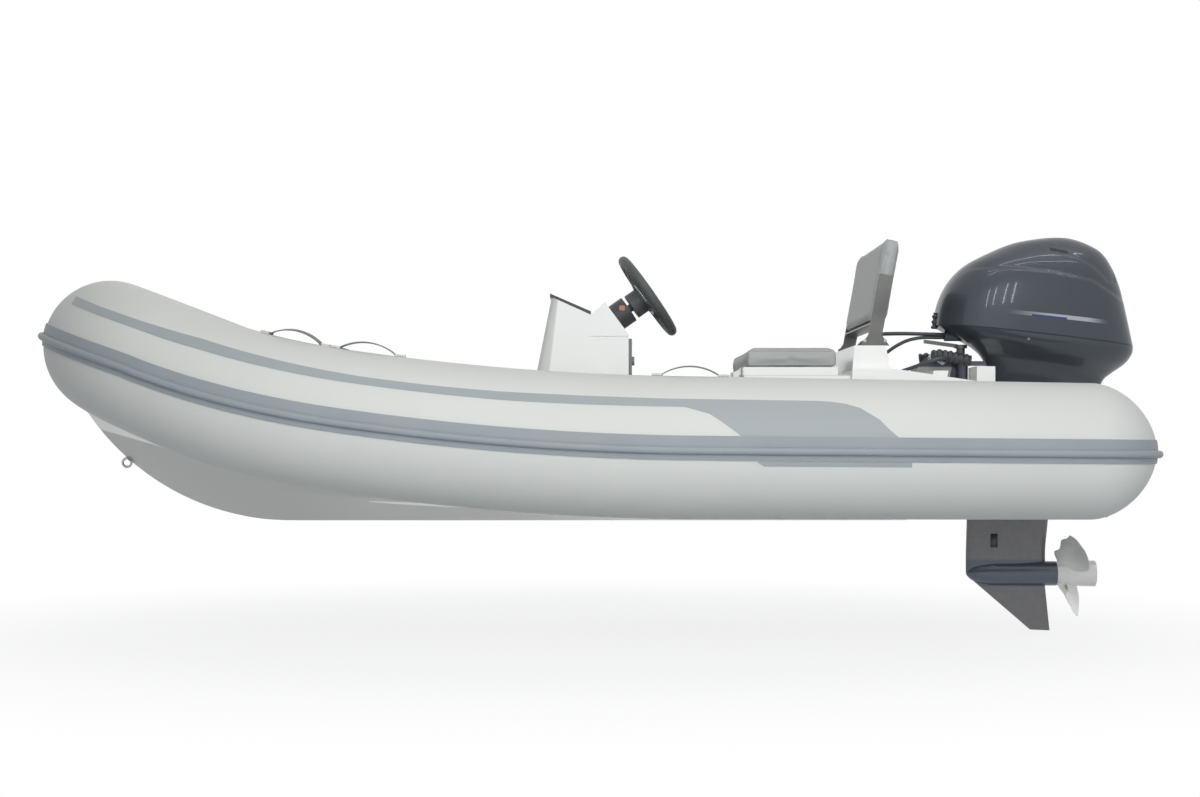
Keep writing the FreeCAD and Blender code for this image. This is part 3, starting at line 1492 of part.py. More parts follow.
# The control cables come out of the slanted aft face of a hood on the rear box's top.
hood_foot = Vector(size.box_head_back + size.hood_foot, 0, size.box_head_z + size.seat_gap)
hood_head = Vector(size.hood_x, 0, hood_foot.z + size.hood_rise)
hood_outline = Part.makePolygon([hood_foot, Vector(size.hood_front, 0, hood_foot.z), hood_head, hood_foot])
hood = Part.Face(hood_outline).extrude(PORT * (size.gland_half * 2))
hood.translate(PORT * -size.gland_half)
hood_out = (hood_head - hood_foot).cross(PORT).normalize()
if hood_out.z < 0:
    hood_out = hood_out * -1
keep(solid("cable_gland", Part.makeCompound([gland, hood])), "cable_gland")
boot = Part.makeCylinder(size.boot_radius, size.tiller_reach, Vector(size.boot_front, 0, size.boot_z), AHEAD * -1)
boot_block = boot.cut(pan_shape)
keep(solid("cable_boot", sorted(boot_block.Solids, key=lambda piece: piece.BoundBox.XMax)[-1]), "cable_boot")


def control_route(side):
    """Out of the hood, over the motor's well, and level to the boot under the pan's lip."""
    start = (hood_foot + hood_head) * 0.5 + hood_out * size.seat_gap + PORT * side
    corner = start + hood_out * ((size.control_level - start.z) / hood_out.z)
    end_side = side * 0.5
    return [start, corner, Vector(120, side * 0.85, size.control_level + 2), Vector(40, end_side, size.control_level),
            Vector(size.boot_front + size.seat_gap, end_side, size.boot_z + size.control_radius)]


def throttle_route():
    """Out of the rear box's aft face and up to the boot, between the control cables."""
    start = box_back(size.gland_z) + BOX_BACK * (size.gland_thickness + size.seat_gap * 2)
    return [start, start + BOX_BACK * 30, Vector(150, 0, 485), Vector(104, 0, 510), Vector(52, 0, 520.5), Vector(0, 0, 519.5),
            Vector(size.boot_front + size.seat_gap, 0, 519.5)]


controls = [cable(control_route(16), size.control_radius),
            cable(control_route(-16), size.control_radius),
            cable(throttle_route(), size.throttle_radius)]
keep(solid("control_cables", Part.makeCompound(controls)), "control_cables")

sleeve_start = TILT + PORT * (tube_end + size.seat_gap)
sleeve = Part.makeCylinder(size.steering_sleeve, size.sleeve_length, sleeve_start, PORT)
keep(solid("steering_sleeve", sleeve), "steering_sleeve")
sleeve_end = sleeve_start + PORT * (size.sleeve_length + size.seat_gap)
well_z = size.wing_low_z + (size.box_foot_z - size.wing_low_z) * 0.86
steering_route = [sleeve_end, sleeve_end + PORT * 30, Vector(26, 222, 438), Vector(70, 214, 424),
                  Vector(112, 180, 408), Vector(146, 150, 396), Vector(164, 132, well_z - 4)]
steering = cable(steering_route, size.steering_radius).cut(parts["aft_moulding"].Shape)
keep(solid("steering_cable", sorted(steering.Solids, key=lambda piece: -piece.Volume)[0]), "steering_cable")

doc.recompute()
os.makedirs("parts", exist_ok=True)
for feature in doc.Objects:
    if any(state in ("Invalid", "Error") for state in feature.State):
        raise RuntimeError(feature.Label + " failed to compute")
for label, feature in parts.items():
    if feature.Shape.isNull() or not feature.Shape.isValid():
        raise RuntimeError(label + " has no valid shape")
for label, feature in parts.items():
    feature.Shape.exportStep("parts/%s.step" % label)
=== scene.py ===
# Inflatable rib boat with a steering console and an outboard, as it would stand in a studio.
# Metres, +X to the bow, +Y to port, +Z up, with the waterline at Z 0.

import math

import bmesh
import bpy
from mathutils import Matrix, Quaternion, Vector
from mathutils.bvhtree import BVHTree


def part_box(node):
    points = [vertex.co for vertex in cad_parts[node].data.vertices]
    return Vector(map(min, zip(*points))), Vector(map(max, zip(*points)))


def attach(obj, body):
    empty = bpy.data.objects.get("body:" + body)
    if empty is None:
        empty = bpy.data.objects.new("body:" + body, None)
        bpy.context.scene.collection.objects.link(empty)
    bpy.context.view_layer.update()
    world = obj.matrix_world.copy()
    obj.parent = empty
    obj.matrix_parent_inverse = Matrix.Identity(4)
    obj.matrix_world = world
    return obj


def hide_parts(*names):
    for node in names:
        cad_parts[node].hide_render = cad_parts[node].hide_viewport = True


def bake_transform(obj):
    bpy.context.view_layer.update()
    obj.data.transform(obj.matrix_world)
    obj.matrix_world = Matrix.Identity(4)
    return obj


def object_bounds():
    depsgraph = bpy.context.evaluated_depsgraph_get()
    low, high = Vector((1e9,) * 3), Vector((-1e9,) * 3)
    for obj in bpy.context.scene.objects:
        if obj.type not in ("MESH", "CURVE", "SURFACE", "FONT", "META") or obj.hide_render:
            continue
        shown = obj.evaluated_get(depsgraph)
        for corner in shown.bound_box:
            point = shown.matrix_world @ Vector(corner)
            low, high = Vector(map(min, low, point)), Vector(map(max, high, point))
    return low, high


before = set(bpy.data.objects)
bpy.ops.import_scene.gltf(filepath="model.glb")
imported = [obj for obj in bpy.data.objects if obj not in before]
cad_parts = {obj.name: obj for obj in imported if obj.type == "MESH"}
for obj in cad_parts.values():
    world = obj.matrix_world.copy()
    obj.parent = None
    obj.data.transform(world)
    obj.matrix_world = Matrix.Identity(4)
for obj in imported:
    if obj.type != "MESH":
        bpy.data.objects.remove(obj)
cad_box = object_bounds()


# Viewpoint. The photograph is taken from port, square to the boat, with the lens a little above
# the waterline; the frame is shifted up and aft of where the lens points.
photo_width = 1200
photo_height = 797
lens_point_across = 585
lens_point_down = 446
lens_length = 63.4
lens_place = (1.230, 7.400, 0.140)

camera_data = bpy.data.cameras.new("photographer")
camera_data.sensor_width = 36.0
camera_data.lens = lens_length
camera_data.shift_x = (photo_width / 2 - lens_point_across) / photo_width
camera_data.shift_y = (lens_point_down - photo_height / 2) / photo_width
camera = bpy.data.objects.new("photographer", camera_data)
camera.location = lens_place
camera.rotation_euler = (math.radians(90), 0, math.radians(180))
bpy.context.collection.objects.link(camera)
bpy.context.scene.camera = camera
bpy.context.scene.view_settings.view_transform = "Standard"


# Studio. A pale floor just under the skeg and a white backdrop all round. One broad lamp stands
# over the port side, with a low fill beside it and a back light to starboard; narrow strip lamps,
# two of them along the ceiling, streak the polished covers and light nothing else.
class Signal:
    """The output of a shader node, with the arithmetic that the finishes use."""

    def __init__(self, finish, socket):
        self.finish = finish
        self.socket = socket

    def maths(self, operation, *values):
        return self.finish.node("Math", {"operation": operation}, dict(enumerate(values)))

    def __add__(self, other):
        return self.maths("ADD", self, other)

    def __sub__(self, other):
        return self.maths("SUBTRACT", self, other)

    def __rsub__(self, other):
        return self.maths("SUBTRACT", other, self)

    def __mul__(self, other):
        return self.maths("MULTIPLY", self, other)

    def __gt__(self, other):
        return self.maths("GREATER_THAN", self, other)

    def __lt__(self, other):
        return self.maths("LESS_THAN", self, other)

    __radd__ = __add__
    __rmul__ = __mul__


def shade(red, green, blue):
    """A screen colour, 0 to 255 a channel, as the linear colour that a shader takes."""
    channels = []
    for level in (red, green, blue):
        share = level / 255
        channels.append(share / 12.92 if share <= 0.04045 else ((share + 0.055) / 1.055) ** 2.4)
    return (*channels, 1.0)


class Shading:
    """A tree of shader nodes, and how its nodes are made and fed."""

    def __init__(self, tree):
        self.tree = tree

    def feed(self, socket, value):
        if isinstance(value, Signal):
            self.tree.links.new(value.socket, socket)
        else:
            socket.default_value = value

    def node(self, kind, settings, sockets, output=0):
        node = self.tree.nodes.new("ShaderNode" + kind)
        for name, value in settings.items():
            setattr(node, name, value)
        for key, value in sockets.items():
            self.feed(node.inputs[key], value)
        return Signal(self, node.outputs[output])

    def smooth(self, signal, low, high):
        """Rises smoothly from 0 at low to 1 at high."""
        sockets = {"Value": signal, "From Min": low, "From Max": high}
        return self.node("MapRange", {"interpolation_type": "SMOOTHSTEP"}, sockets)

    def larger(self, first, second):
        return self.node("Math", {"operation": "MAXIMUM"}, {0: first, 1: second})

    def in_sight(self):
        """1 for the rays of the camera, of mirrors and of glass, which see the backdrop."""
        kinds = ("Camera", "Glossy", "Transmission")
        seen = [self.node("LightPath", {}, {}, "Is %s Ray" % kind) for kind in kinds]
        return self.larger(self.larger(seen[0], seen[1]), seen[2])


class Finish(Shading):
    """A surface finish: a material with one Principled shader and the nodes that feed it."""

    def __init__(self, name, **sockets):
        self.material = bpy.data.materials.new(name)
        self.material.use_nodes = True
        super().__init__(self.material.node_tree)
        self.surface = self.tree.nodes["Principled BSDF"]
        self.set(**sockets)

    def set(self, **sockets):
        """Sets the shader's sockets, whose names are written with _ for a space."""
        for name, value in sockets.items():
            self.feed(self.surface.inputs[name.replace("_", " ").title()], value)

    def place(self):
        return self.node("TexCoord", {}, {}, "Object")

    def axis(self, name):
        return self.node("SeparateXYZ", {}, {0: self.place()}, name)

    def noise(self, scale, detail=2.0, stretch=None):
        vector = self.place()
        if stretch:
            vector = self.node("Mapping", {}, {"Vector": vector, "Scale": stretch})
        return self.node("TexNoise", {}, {"Vector": vector, "Scale": scale, "Detail": detail}, "Fac")

    def mix(self, mask, low, high):
        return self.node("Mix", {"data_type": "RGBA"}, {0: mask, 6: low, 7: high}, 2)

    def mottled(self, scale, detail, dark, pale):
        """A colour that wanders between two screen colours."""
        return self.mix(self.noise(scale, detail), shade(*dark), shade(*pale))

    def bump(self, height, depth_m):
        self.set(normal=self.node("Bump", {}, {"Height": height, "Distance": depth_m, "Strength": 1.0}))


floor_half = 30.0
floor_gap = 0.004
floor_z = cad_box[0].z - floor_gap
shadow_centre = (1.2, 0.0, floor_z)
shadow_inner = 1.2
shadow_outer = 3.2
shadow_share = 0.16
room_level = 0.56
bow_gloom = 0.4
plain_white = (1.0, 1.0, 1.0, 1.0)

floor_mesh = bpy.data.meshes.new("floor")
floor_corners = [(x * floor_half, y * floor_half, floor_z) for x, y in ((-1, -1), (1, -1), (1, 1), (-1, 1))]
floor_mesh.from_pydata(floor_corners, [], [(0, 1, 2, 3)])
floor = bpy.data.objects.new("floor", floor_mesh)
bpy.context.collection.objects.link(floor)
floor_paint = Finish("floor_paint", base_color=(0.54, 0.56, 0.58, 1.0), roughness=0.9)
from_shadow = {0: floor_paint.place(), 1: shadow_centre}
away = floor_paint.node("VectorMath", {"operation": "DISTANCE"}, from_shadow, "Value")
glow = 1 - shadow_share * (1 - floor_paint.smooth(away, shadow_inner, shadow_outer))
white = floor_paint.node("Emission", {}, {"Color": plain_white, "Strength": 1.0})
paint = Signal(floor_paint, floor_paint.surface.outputs[0])
blended = floor_paint.node("MixShader", {}, {0: glow * floor_paint.in_sight(), 1: paint, 2: white})
floor_paint.feed(floor_paint.tree.nodes["Material Output"].inputs["Surface"], blended)
floor_mesh.materials.append(floor_paint.material)

studio = bpy.data.worlds.new("studio")
bpy.context.scene.world = studio
studio.use_nodes = True
room = Shading(studio.node_tree)
toward_bow = room.node("SeparateXYZ", {}, {0: room.node("TexCoord", {}, {}, "Generated")}, "X")
room_light = room_level - bow_gloom * room.smooth(toward_bow, -0.1, 1.0)
walls = room.node("Background", {}, {"Color": (0.93, 0.96, 1.0, 1.0), "Strength": room_light})
backdrop = room.node("Background", {}, {"Color": plain_white, "Strength": 1.0})
around = room.node("MixShader", {}, {0: room.in_sight(), 1: walls, 2: backdrop})
room.feed(room.tree.nodes["World Output"].inputs["Surface"], around)


def lamp(name, place, target, size, power, colour=(1, 1, 1), height=None):
    """A soft lamp that polish doesn't mirror, or, where it has a height, a strip that only polish shows."""
    data = bpy.data.lights.new(name, "AREA")
    data.shape = "RECTANGLE"
    data.size = size
    data.size_y = height or size
    data.energy = power
    data.color = colour
    holder = bpy.data.objects.new(name, data)
    holder.location = place
    holder.rotation_euler = (Vector(target) - Vector(place)).to_track_quat("-Z", "Y").to_euler()
    holder.visible_glossy = height is not None
    holder.visible_diffuse = height is None
    bpy.context.collection.objects.link(holder)


lamp("key_lamp", (0.9, 5.3, 2.1), (1.3, 0.3, 0.2), 2.8, 138, (1.0, 0.985, 0.955))
lamp("fill_lamp", (0.6, 5.8, 0.1), (0.9, 0.6, 0.0), 2.2, 36, (0.8, 0.92, 1.0))
lamp("back_lamp", (0.4, -4.2, 3.6), (1.0, -0.3, 0.4), 2.6, 45)
for number, aside in enumerate((1.4, 0.4), 1):
    lamp("ceiling_lamp_%d" % number, (-0.5, aside, 3.6), (-0.4, 0.1, 0.7), 3.2, 12.0, height=0.09)
for number, place in enumerate((-0.35, 0.05, 0.65, 1.15)):
    lamp("strip_lamp_%d" % number, (place, 3.4, 2.1), (place - 0.6, 0.0, 0.7), 0.05, 5.0, height=1.3)


# Tubes. Two air tubes of pale coated fabric run from the stern caps round the bow, where their
# centre line rises and turns in; the coating is matt, with a fine woven grain under it.
tube_radius = 0.2275
stern_radius = 0.217
tube_side = 0.685
bow_end = 2.873
bow_height = 0.486
tube_corners = [(-0.375, tube_side, 0.1229), (1.45, tube_side, 0.139), (2.305, 0.642, 0.264),
                (bow_end, 0.34, bow_height), (bow_end, 0.0, bow_height)]
tube_tangents = [0.56, 0.29, 0.34]
shortest_run = 1e-6
rail_lean = math.radians(11)


class TubeLine:
    """The port tube's centre line as straight and round stretches, by distance from the stern."""

    def __init__(self, corners, tangents):
        corners = [Vector(corner) for corner in corners]
        self.stretches = []
        start = corners[0]
        for before, corner, after, tangent in zip(corners, corners[1:], corners[2:], tangents):
            arriving = (corner - before).normalized()
            leaving = (after - corner).normalized()
            turn = arriving.angle(leaving)
            axis = arriving.cross(leaving).normalized()
            radius = tangent / math.tan(turn / 2)
            arc_start = corner - arriving * tangent
            centre = arc_start + axis.cross(arriving) * radius
            run = (arc_start - start).length
            if run > shortest_run:
                self.stretches.append((run, start, arriving, start, axis, 0.0))
            self.stretches.append((radius * turn, arc_start, arriving, centre, axis, turn))
            start = centre + Quaternion(axis, turn) @ (arc_start - centre)
        self.length = sum(stretch[0] for stretch in self.stretches)
        self.taper = self.stretches[0][0]

    def at(self, distance):
        """The point and the direction at a distance."""
        for length, start, direction, centre, axis, turn in self.stretches:
            if distance <= length:
                break
            distance -= length
        share = min(distance / length, 1)
        if turn == 0:
            return start + direction * (length * share), direction
        turned = Quaternion(axis, turn * share)
        return centre + turned @ (start - centre), turned @ direction

    def radius(self, distance):
        return stern_radius + (tube_radius - stern_radius) * min(distance / self.taper, 1)

    def skin(self, distance, angle, lift=0.0):
        """A point on the tube, at an angle in degrees above the line where the rail is glued."""
        point, direction = self.at(distance)
        tall = Vector((-math.sin(rail_lean), 0, math.cos(rail_lean)))
        outward = tall.cross(direction).normalized()
        share = min(distance / self.taper, 1)
        outward = (Vector((0, 1, 0)) * (1 - share) + outward * share).normalized()
        upward = direction.cross(outward).normalized()
        turn = math.radians(angle)
        return point + (outward * math.cos(turn) + upward * math.sin(turn)) * (self.radius(distance) + lift)


tube_line = TubeLine(tube_corners, tube_tangents)


def dress(finish, *names):
    """Gives CAD nodes a finish."""
    for name in names:
        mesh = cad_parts[name].data
        mesh.materials.clear()
        mesh.materials.append(finish.material)


tube_fabric = Finish("tube_fabric", roughness=0.6)
tube_fabric.set(base_color=tube_fabric.mottled(1.3, 3.0, (208, 209, 205), (216, 217, 213)))
tube_fabric.bump(tube_fabric.noise(900.0, 1.0), 0.00004)
dress(tube_fabric, "tube_port", "tube_starboard", "tube_bow", "stern_cap_port", "stern_cap_starboard")


# Stripes. A grey stripe is glued along each tube's upper side, and widens astern into a panel
# that runs down to the rub rail; a narrow strip goes on below the rail.
sides = ((1, "port"), (-1, "starboard"))
stripe_lift = 0.0007
column_step = 0.02
pieces_across = 12
stripe_top = [(0.64, 9.6), (0.667, 15.7), (0.697, 24.1), (0.756, 34.9), (0.801, 38.9), (0.838, 40.6),
              (0.886, 41.5), (1.375, 41.7), (1.501, 41.9), (1.69, 41.3), (1.877, 40.0), (2.12, 39.4),
              (2.32, 39.6), (2.47, 41.0), (2.641, 42.7), (2.828, 44.1), (2.94, 42.4), (3.039, 40.4),
              (3.203, 40.5), (3.335, 41.8), (3.365, 42.1)]
stripe_foot = [(0.64, 9.4), (1.126, 9.6), (1.175, 19.2), (1.221, 27.5), (1.297, 33.6), (1.344, 33.8),
               (1.5, 33.4), (1.69, 32.6), (1.873, 31.7), (2.313, 31.8), (2.625, 32.8), (2.802, 33.2),
               (3.018, 31.7), (3.171, 32.2), (3.335, 33.4), (3.365, 42.0)]
strip_top = [(0.599, -10.3), (1.076, -10.3)]
strip_foot = [(0.599, -14.2), (1.054, -14.2), (1.076, -10.6)]

stripe_vinyl = Finish("stripe_vinyl", roughness=0.5)
stripe_vinyl.set(base_color=stripe_vinyl.mottled(2.0, 3.0, (156, 161, 163), (165, 170, 172)))
stripe_vinyl.bump(stripe_vinyl.noise(900.0, 1.0), 0.00004)


def place_piece(name, mesh, finish, body, slot, *replaced):
    """Puts a mesh in the scene as a piece that rides on a body and may stand for CAD nodes."""
    mesh.materials.clear()
    mesh.materials.append(finish.material)
    piece = bpy.data.objects.new(name, mesh)
    bpy.context.collection.objects.link(piece)
    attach(piece, body)
    if replaced:
        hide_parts(*replaced)
    return piece


def skin_mesh(name, rows, ring=False, caps=False):
    """A smooth mesh over rows of points; a ring's rows close on themselves, and caps end it."""
    form = bmesh.new()
    laid = [[form.verts.new(point) for point in row] for row in rows]
    for row, after in zip(laid, laid[1:]):
        last = len(row) if ring else len(row) - 1
        for index in range(last):
            beside = (index + 1) % len(row)
            form.faces.new((row[index], row[beside], after[beside], after[index]))
    if caps:
        form.faces.new(laid[0][::-1])
        form.faces.new(laid[-1])
    for face in form.faces:
        face.smooth = True
    mesh = bpy.data.meshes.new(name)
    form.to_mesh(mesh)
    form.free()
    return mesh


def between(value, stops):
    """Reads a line that is given as (place, height) stops."""
    for (low, start), (high, end) in zip(stops, stops[1:]):
        if value <= high:
            share = max(0.0, (value - low) / (high - low))
            return start + (end - start) * share
    return stops[-1][1]


def glued_patch(name, top, foot, finish, side):
    """A thin patch on a tube, between two edges given as (distance, angle) stops."""
    places = sorted({distance for distance, _ in top + foot})
    columns = []
    for low, high in zip(places, places[1:]):
        pieces = max(1, round((high - low) / column_step))
        columns += [low + (high - low) * index / pieces for index in range(pieces)]
    columns.append(places[-1])
    rows = []
    for distance in columns:
        low = between(distance, foot)
        high = between(distance, top)
        row = []
        for index in range(pieces_across + 1):
            point = tube_line.skin(distance, low + (high - low) * index / pieces_across, stripe_lift)
            row.append((point.x, point.y * side, point.z))
        rows.append(row if side > 0 else row[::-1])
    mesh = skin_mesh(name, rows)
    return place_piece(name, mesh, finish, "root", "rail_rubber")


for side, label in sides:
    glued_patch("stripe_" + label, stripe_top, stripe_foot, stripe_vinyl, side)
    glued_patch("strip_" + label, strip_top, strip_foot, stripe_vinyl, side)


# Rub rail. A grey rubber band with a half-round bead, extruded in lengths and glued round both
# tubes, with a moulded end piece over each stern cap.
rail_rubber = Finish("rail_rubber", roughness=0.55)
rail_rubber.set(base_color=rail_rubber.mottled(7.0, 4.0, (144, 150, 155), (154, 160, 165)))
rail_rubber.bump(rail_rubber.noise(400.0, 2.0), 0.0001)
dress(rail_rubber, "rub_rail_bow")
for side, label in sides:
    dress(rail_rubber, "rub_rail_" + label, "rail_end_" + label)


# Grab handles. Grey webbing straps bowed over flat feet that are glued to the tubes' crowns; the
# weave runs across the strap, and the feet are faced with the tubes' fabric.
strap_half = 0.089
handle_distances = (1.274, 2.333, 2.587)

webbing = Finish("webbing", roughness=0.7)
weaving = {"Vector": webbing.place(), "Scale": 90.0, "Distortion": 0.6}
weave = webbing.node("TexWave", {"bands_direction": "X"}, weaving, "Fac")
strap = 0.0
for distance in handle_distances:
    middle, direction = tube_line.at(distance)
    upward = (Vector((0, 0, 1)) - direction * direction.z).normalized()
    crown = middle + upward * tube_line.radius(distance)
    beside = webbing.node("Math", {"operation": "ABSOLUTE"}, {0: webbing.axis("X") - crown.x})
    strap = (beside < strap_half * abs(direction.x)) + strap
strap_colour = webbing.mix(weave, shade(112, 115, 114), shade(134, 137, 136))
webbing.set(base_color=webbing.mix(strap, shade(212, 213, 209), strap_colour))
webbing.bump(weave, 0.0006)
dress(webbing, "grab_handles_port", "grab_handles_starboard")


# Hull. A glass-fibre deep-V bottom in warm grey gelcoat, polished. A flange runs along the seam
# by the stem and a chine along the bottom's edge; both are painted lighter than the planks, with a
# faint glow, as a painted highlight. The planks are painted darker towards the stern, as painted shade.
flange_start = 2.40
flange_slope = 0.2505
flange_drop = 0.535
chine_stern = 1.31
chine_end = 1.33
chine_bow = 1.97
chine_rise = 0.0065
chine_curve = 0.0519
chine_depth = 0.079
chine_top_slope = 0.0386
chine_top_depth = 0.0476
edge_blur = 0.002
flange_blur = 0.003
stern_shade_start = 1.3
stern_shade_end = 2.0
painted_highlight_strength = 0.16

hull_gelcoat = Finish("hull_gelcoat", roughness=0.22, coat_weight=0.25, coat_roughness=0.06)
hull_along = hull_gelcoat.axis("X")
hull_up = hull_gelcoat.axis("Z")
over_flange = hull_up - hull_along * flange_slope + flange_drop
flange = hull_gelcoat.smooth(over_flange, -flange_blur, flange_blur) * (hull_along > flange_start)
from_stern = hull_along - chine_stern
over_chine = hull_up - from_stern * chine_rise - from_stern * from_stern * chine_curve + chine_depth
under_top = hull_up < (hull_along - chine_bow) * chine_top_slope - chine_top_depth
chine = hull_gelcoat.smooth(over_chine, -edge_blur, edge_blur) * under_top * (hull_along < chine_bow)
# Flange and chine: painted highlight, a lighter colour and a faint emission glow.
ledges = hull_gelcoat.larger(flange, chine * (hull_along > chine_end))
plank = hull_gelcoat.mottled(1.0, 3.0, (226, 223, 219), (233, 230, 226))
# The planks are painted darker towards the stern: painted shade.
forward = hull_gelcoat.smooth(hull_along, stern_shade_start, stern_shade_end)
planks_painted_shade = hull_gelcoat.mix(forward, shade(150, 150, 147), plank)
painted_ledge_highlight = hull_gelcoat.mix(ledges, shade(0, 0, 0), (1.0, 0.98, 0.95, 1.0))
hull_gelcoat.set(base_color=hull_gelcoat.mix(ledges, planks_painted_shade, shade(240, 239, 235)),
                 emission_color=painted_ledge_highlight, emission_strength=painted_highlight_strength)
dress(hull_gelcoat, "hull")


# Deck and transom. White gelcoat mouldings bonded to the hull; the sole has a non-slip pattern of
# small raised diamonds.
white_gelcoat = Finish("white_gelcoat", roughness=0.2, coat_weight=0.3, coat_roughness=0.05)
white_gelcoat.set(base_color=white_gelcoat.mottled(2.0, 3.0, (240, 240, 238), (246, 246, 244)))
dress(white_gelcoat, "transom")

deck_gelcoat = Finish("deck_gelcoat", roughness=0.5)
studs = {"Vector": deck_gelcoat.place(), "Scale": 130.0, "Randomness": 0.0}
diamonds = deck_gelcoat.node("TexVoronoi", {"distance": "MANHATTAN"}, studs, "Distance")
deck_gelcoat.set(base_color=deck_gelcoat.mix(diamonds, shade(226, 227, 226), shade(208, 210, 210)))
deck_gelcoat.bump(1 - diamonds, 0.0012)
dress(deck_gelcoat, "deck")


# Tow eyes. Stainless rings welded to bolts, one on the stem and two on the transom, for the lines
# that tow the boat and tie it up.
stainless = Finish("stainless", metallic=1.0)
scratches = stainless.noise(40.0, 3.0, (1.0, 1.0, 14.0))
stainless.set(base_color=stainless.mix(scratches, shade(150, 152, 154), shade(186, 188, 190)),
              roughness=scratches * 0.12 + 0.2)
dress(stainless, "bow_eye", "stern_eyes")


# Bow locker. A white box moulding bonded to the deck, under a lid on two stainless hinges. A grey
# vinyl cushion, piped round its edges, is fixed on the lid.
dress(white_gelcoat, "bow_locker", "bow_lid")
dress(stainless, "bow_hinges", "bow_lid_hinges")

grey_vinyl = Finish("grey_vinyl", roughness=0.48)
grey_vinyl.set(base_color=grey_vinyl.mottled(5.0, 4.0, (162, 164, 163), (171, 173, 172)))
vinyl_grain = grey_vinyl.node("TexVoronoi", {}, {"Vector": grey_vinyl.place(), "Scale": 420.0}, "Distance")
grey_vinyl.bump(vinyl_grain * 0.6 + grey_vinyl.noise(160.0, 3.0) * 0.4, 0.0003)

voxel = 0.005
swell = 0.006
swell_pressure = 2.0
swell_frames = 20
welt_inset = 0.009
loop_points = 220
loop_flatness = 0.6


def cushion(name, node, body):
    """A sewn cushion in the space of its CAD node, filled out by a cloth simulation."""
    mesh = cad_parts[node].data.copy()
    piece = place_piece(name, mesh, grey_vinyl, body, "grey_vinyl", node)
    low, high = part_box(node)
    middle = (low + high) / 2
    room = high - low
    for vertex in mesh.vertices:
        for axis in range(3):
            inner = (room[axis] - swell) / room[axis]
            vertex.co[axis] = middle[axis] + (vertex.co[axis] - middle[axis]) * inner
    bpy.context.view_layer.objects.active = piece
    remesh = piece.modifiers.new("remesh", "REMESH")
    remesh.mode = "VOXEL"
    remesh.voxel_size = voxel
    bpy.ops.object.modifier_apply(modifier="remesh")
    before = [vertex.co.copy() for vertex in piece.data.vertices]
    cloth = piece.modifiers.new("cloth", "CLOTH")
    cloth.settings.use_pressure = True
    cloth.settings.uniform_pressure_force = swell_pressure
    cloth.settings.effector_weights.gravity = 0
    scene = bpy.context.scene
    for number in range(1, swell_frames + 1):
        scene.frame_set(number)
    bpy.ops.object.modifier_apply(modifier="cloth")
    scene.frame_set(1)
    for vertex, start in zip(piece.data.vertices, before):
        moved = vertex.co - start
        if moved.length > swell:
            vertex.co = start + moved * (swell / moved.length)
        vertex.co.z = max(vertex.co.z, low.z)
    smoothing = piece.modifiers.new("smoothing", "SMOOTH")
    smoothing.iterations = 3
    bpy.ops.object.modifier_apply(modifier="smoothing")
    for polygon in piece.data.polygons:
        polygon.use_smooth = True
    return piece


class Pattern:
    """A Geometry Nodes tree with named inputs that turns a carrier mesh into a finished one."""

    def __init__(self, name, **inputs):
        self.tree = bpy.data.node_groups.new(name, "GeometryNodeTree")
        sockets = self.tree.interface
        sockets.new_socket("Geometry", in_out="OUTPUT", socket_type="NodeSocketGeometry")
        sockets.new_socket("Geometry", in_out="INPUT", socket_type="NodeSocketGeometry")
        for label, value in inputs.items():
            kind = "NodeSocketInt" if isinstance(value, int) else "NodeSocketFloat"
            sockets.new_socket(label, in_out="INPUT", socket_type=kind).default_value = value
        self.start = self.tree.nodes.new("NodeGroupInput").outputs

    def node(self, kind, settings, sockets, output=0):
        node = self.tree.nodes.new(kind)
        for name, value in settings.items():
            setattr(node, name, value)
        for key, value in sockets.items():
            if isinstance(value, bpy.types.NodeSocket):
                self.tree.links.new(value, node.inputs[key])
            else:
                node.inputs[key].default_value = value
        return node.outputs[output]

    def maths(self, operation, *values):
        return self.node("ShaderNodeMath", {"operation": operation}, dict(enumerate(values)))

    def end(self, geometry):
        """Makes the result real, and ends in the node that gives it a material."""
        real = self.node("GeometryNodeRealizeInstances", {}, {0: geometry})
        self.painted = self.tree.nodes.new("GeometryNodeSetMaterial")
        self.tree.links.new(real, self.painted.inputs["Geometry"])
        leave = self.tree.nodes.new("NodeGroupOutput")
        self.tree.links.new(self.painted.outputs[0], leave.inputs[0])

    def lay(self, name, carrier, finish, body, slot, **values):
        """Runs the tree on a carrier mesh, and places what it makes as a plain piece."""
        self.painted.inputs["Material"].default_value = finish.material
        holder = bpy.data.objects.new(name + "_carrier", carrier)
        bpy.context.collection.objects.link(holder)
        modifier = holder.modifiers.new("pattern", "NODES")
        modifier.node_group = self.tree
        for item in self.tree.interface.items_tree:
            if item.in_out == "INPUT" and item.name in values:
                modifier[item.identifier] = values[item.name]
        made = holder.evaluated_get(bpy.context.evaluated_depsgraph_get())
        mesh = bpy.data.meshes.new_from_object(made)
        bpy.data.objects.remove(holder)
        mesh.name = name
        return place_piece(name, mesh, finish, body, slot)


welt = Pattern("welt", radius=0.0025)
welt_line = welt.node("GeometryNodeMeshToCurve", {}, {"Mesh": welt.start["Geometry"]})
welt_girth = {"Resolution": 8, "Radius": welt.start["radius"]}
welt_round = welt.node("GeometryNodeCurvePrimitiveCircle", {}, welt_girth)
welt_cord = welt.node("GeometryNodeCurveToMesh", {}, {"Curve": welt_line, "Profile Curve": welt_round})
welt.end(welt.node("GeometryNodeSetShadeSmooth", {}, {"Geometry": welt_cord}))


def line_mesh(points, closed=False):
    """A line through points, as a carrier for a pattern."""
    last = len(points) if closed else len(points) - 1
    mesh = bpy.data.meshes.new("line")
    mesh.from_pydata(points, [(index, (index + 1) % len(points)) for index in range(last)], [])
    return mesh


def surface_of(mesh):
    """A mesh's surface, for finding where lines meet it."""
    corners = [vertex.co for vertex in mesh.vertices]
    return BVHTree.FromPolygons(corners, [polygon.vertices for polygon in mesh.polygons])


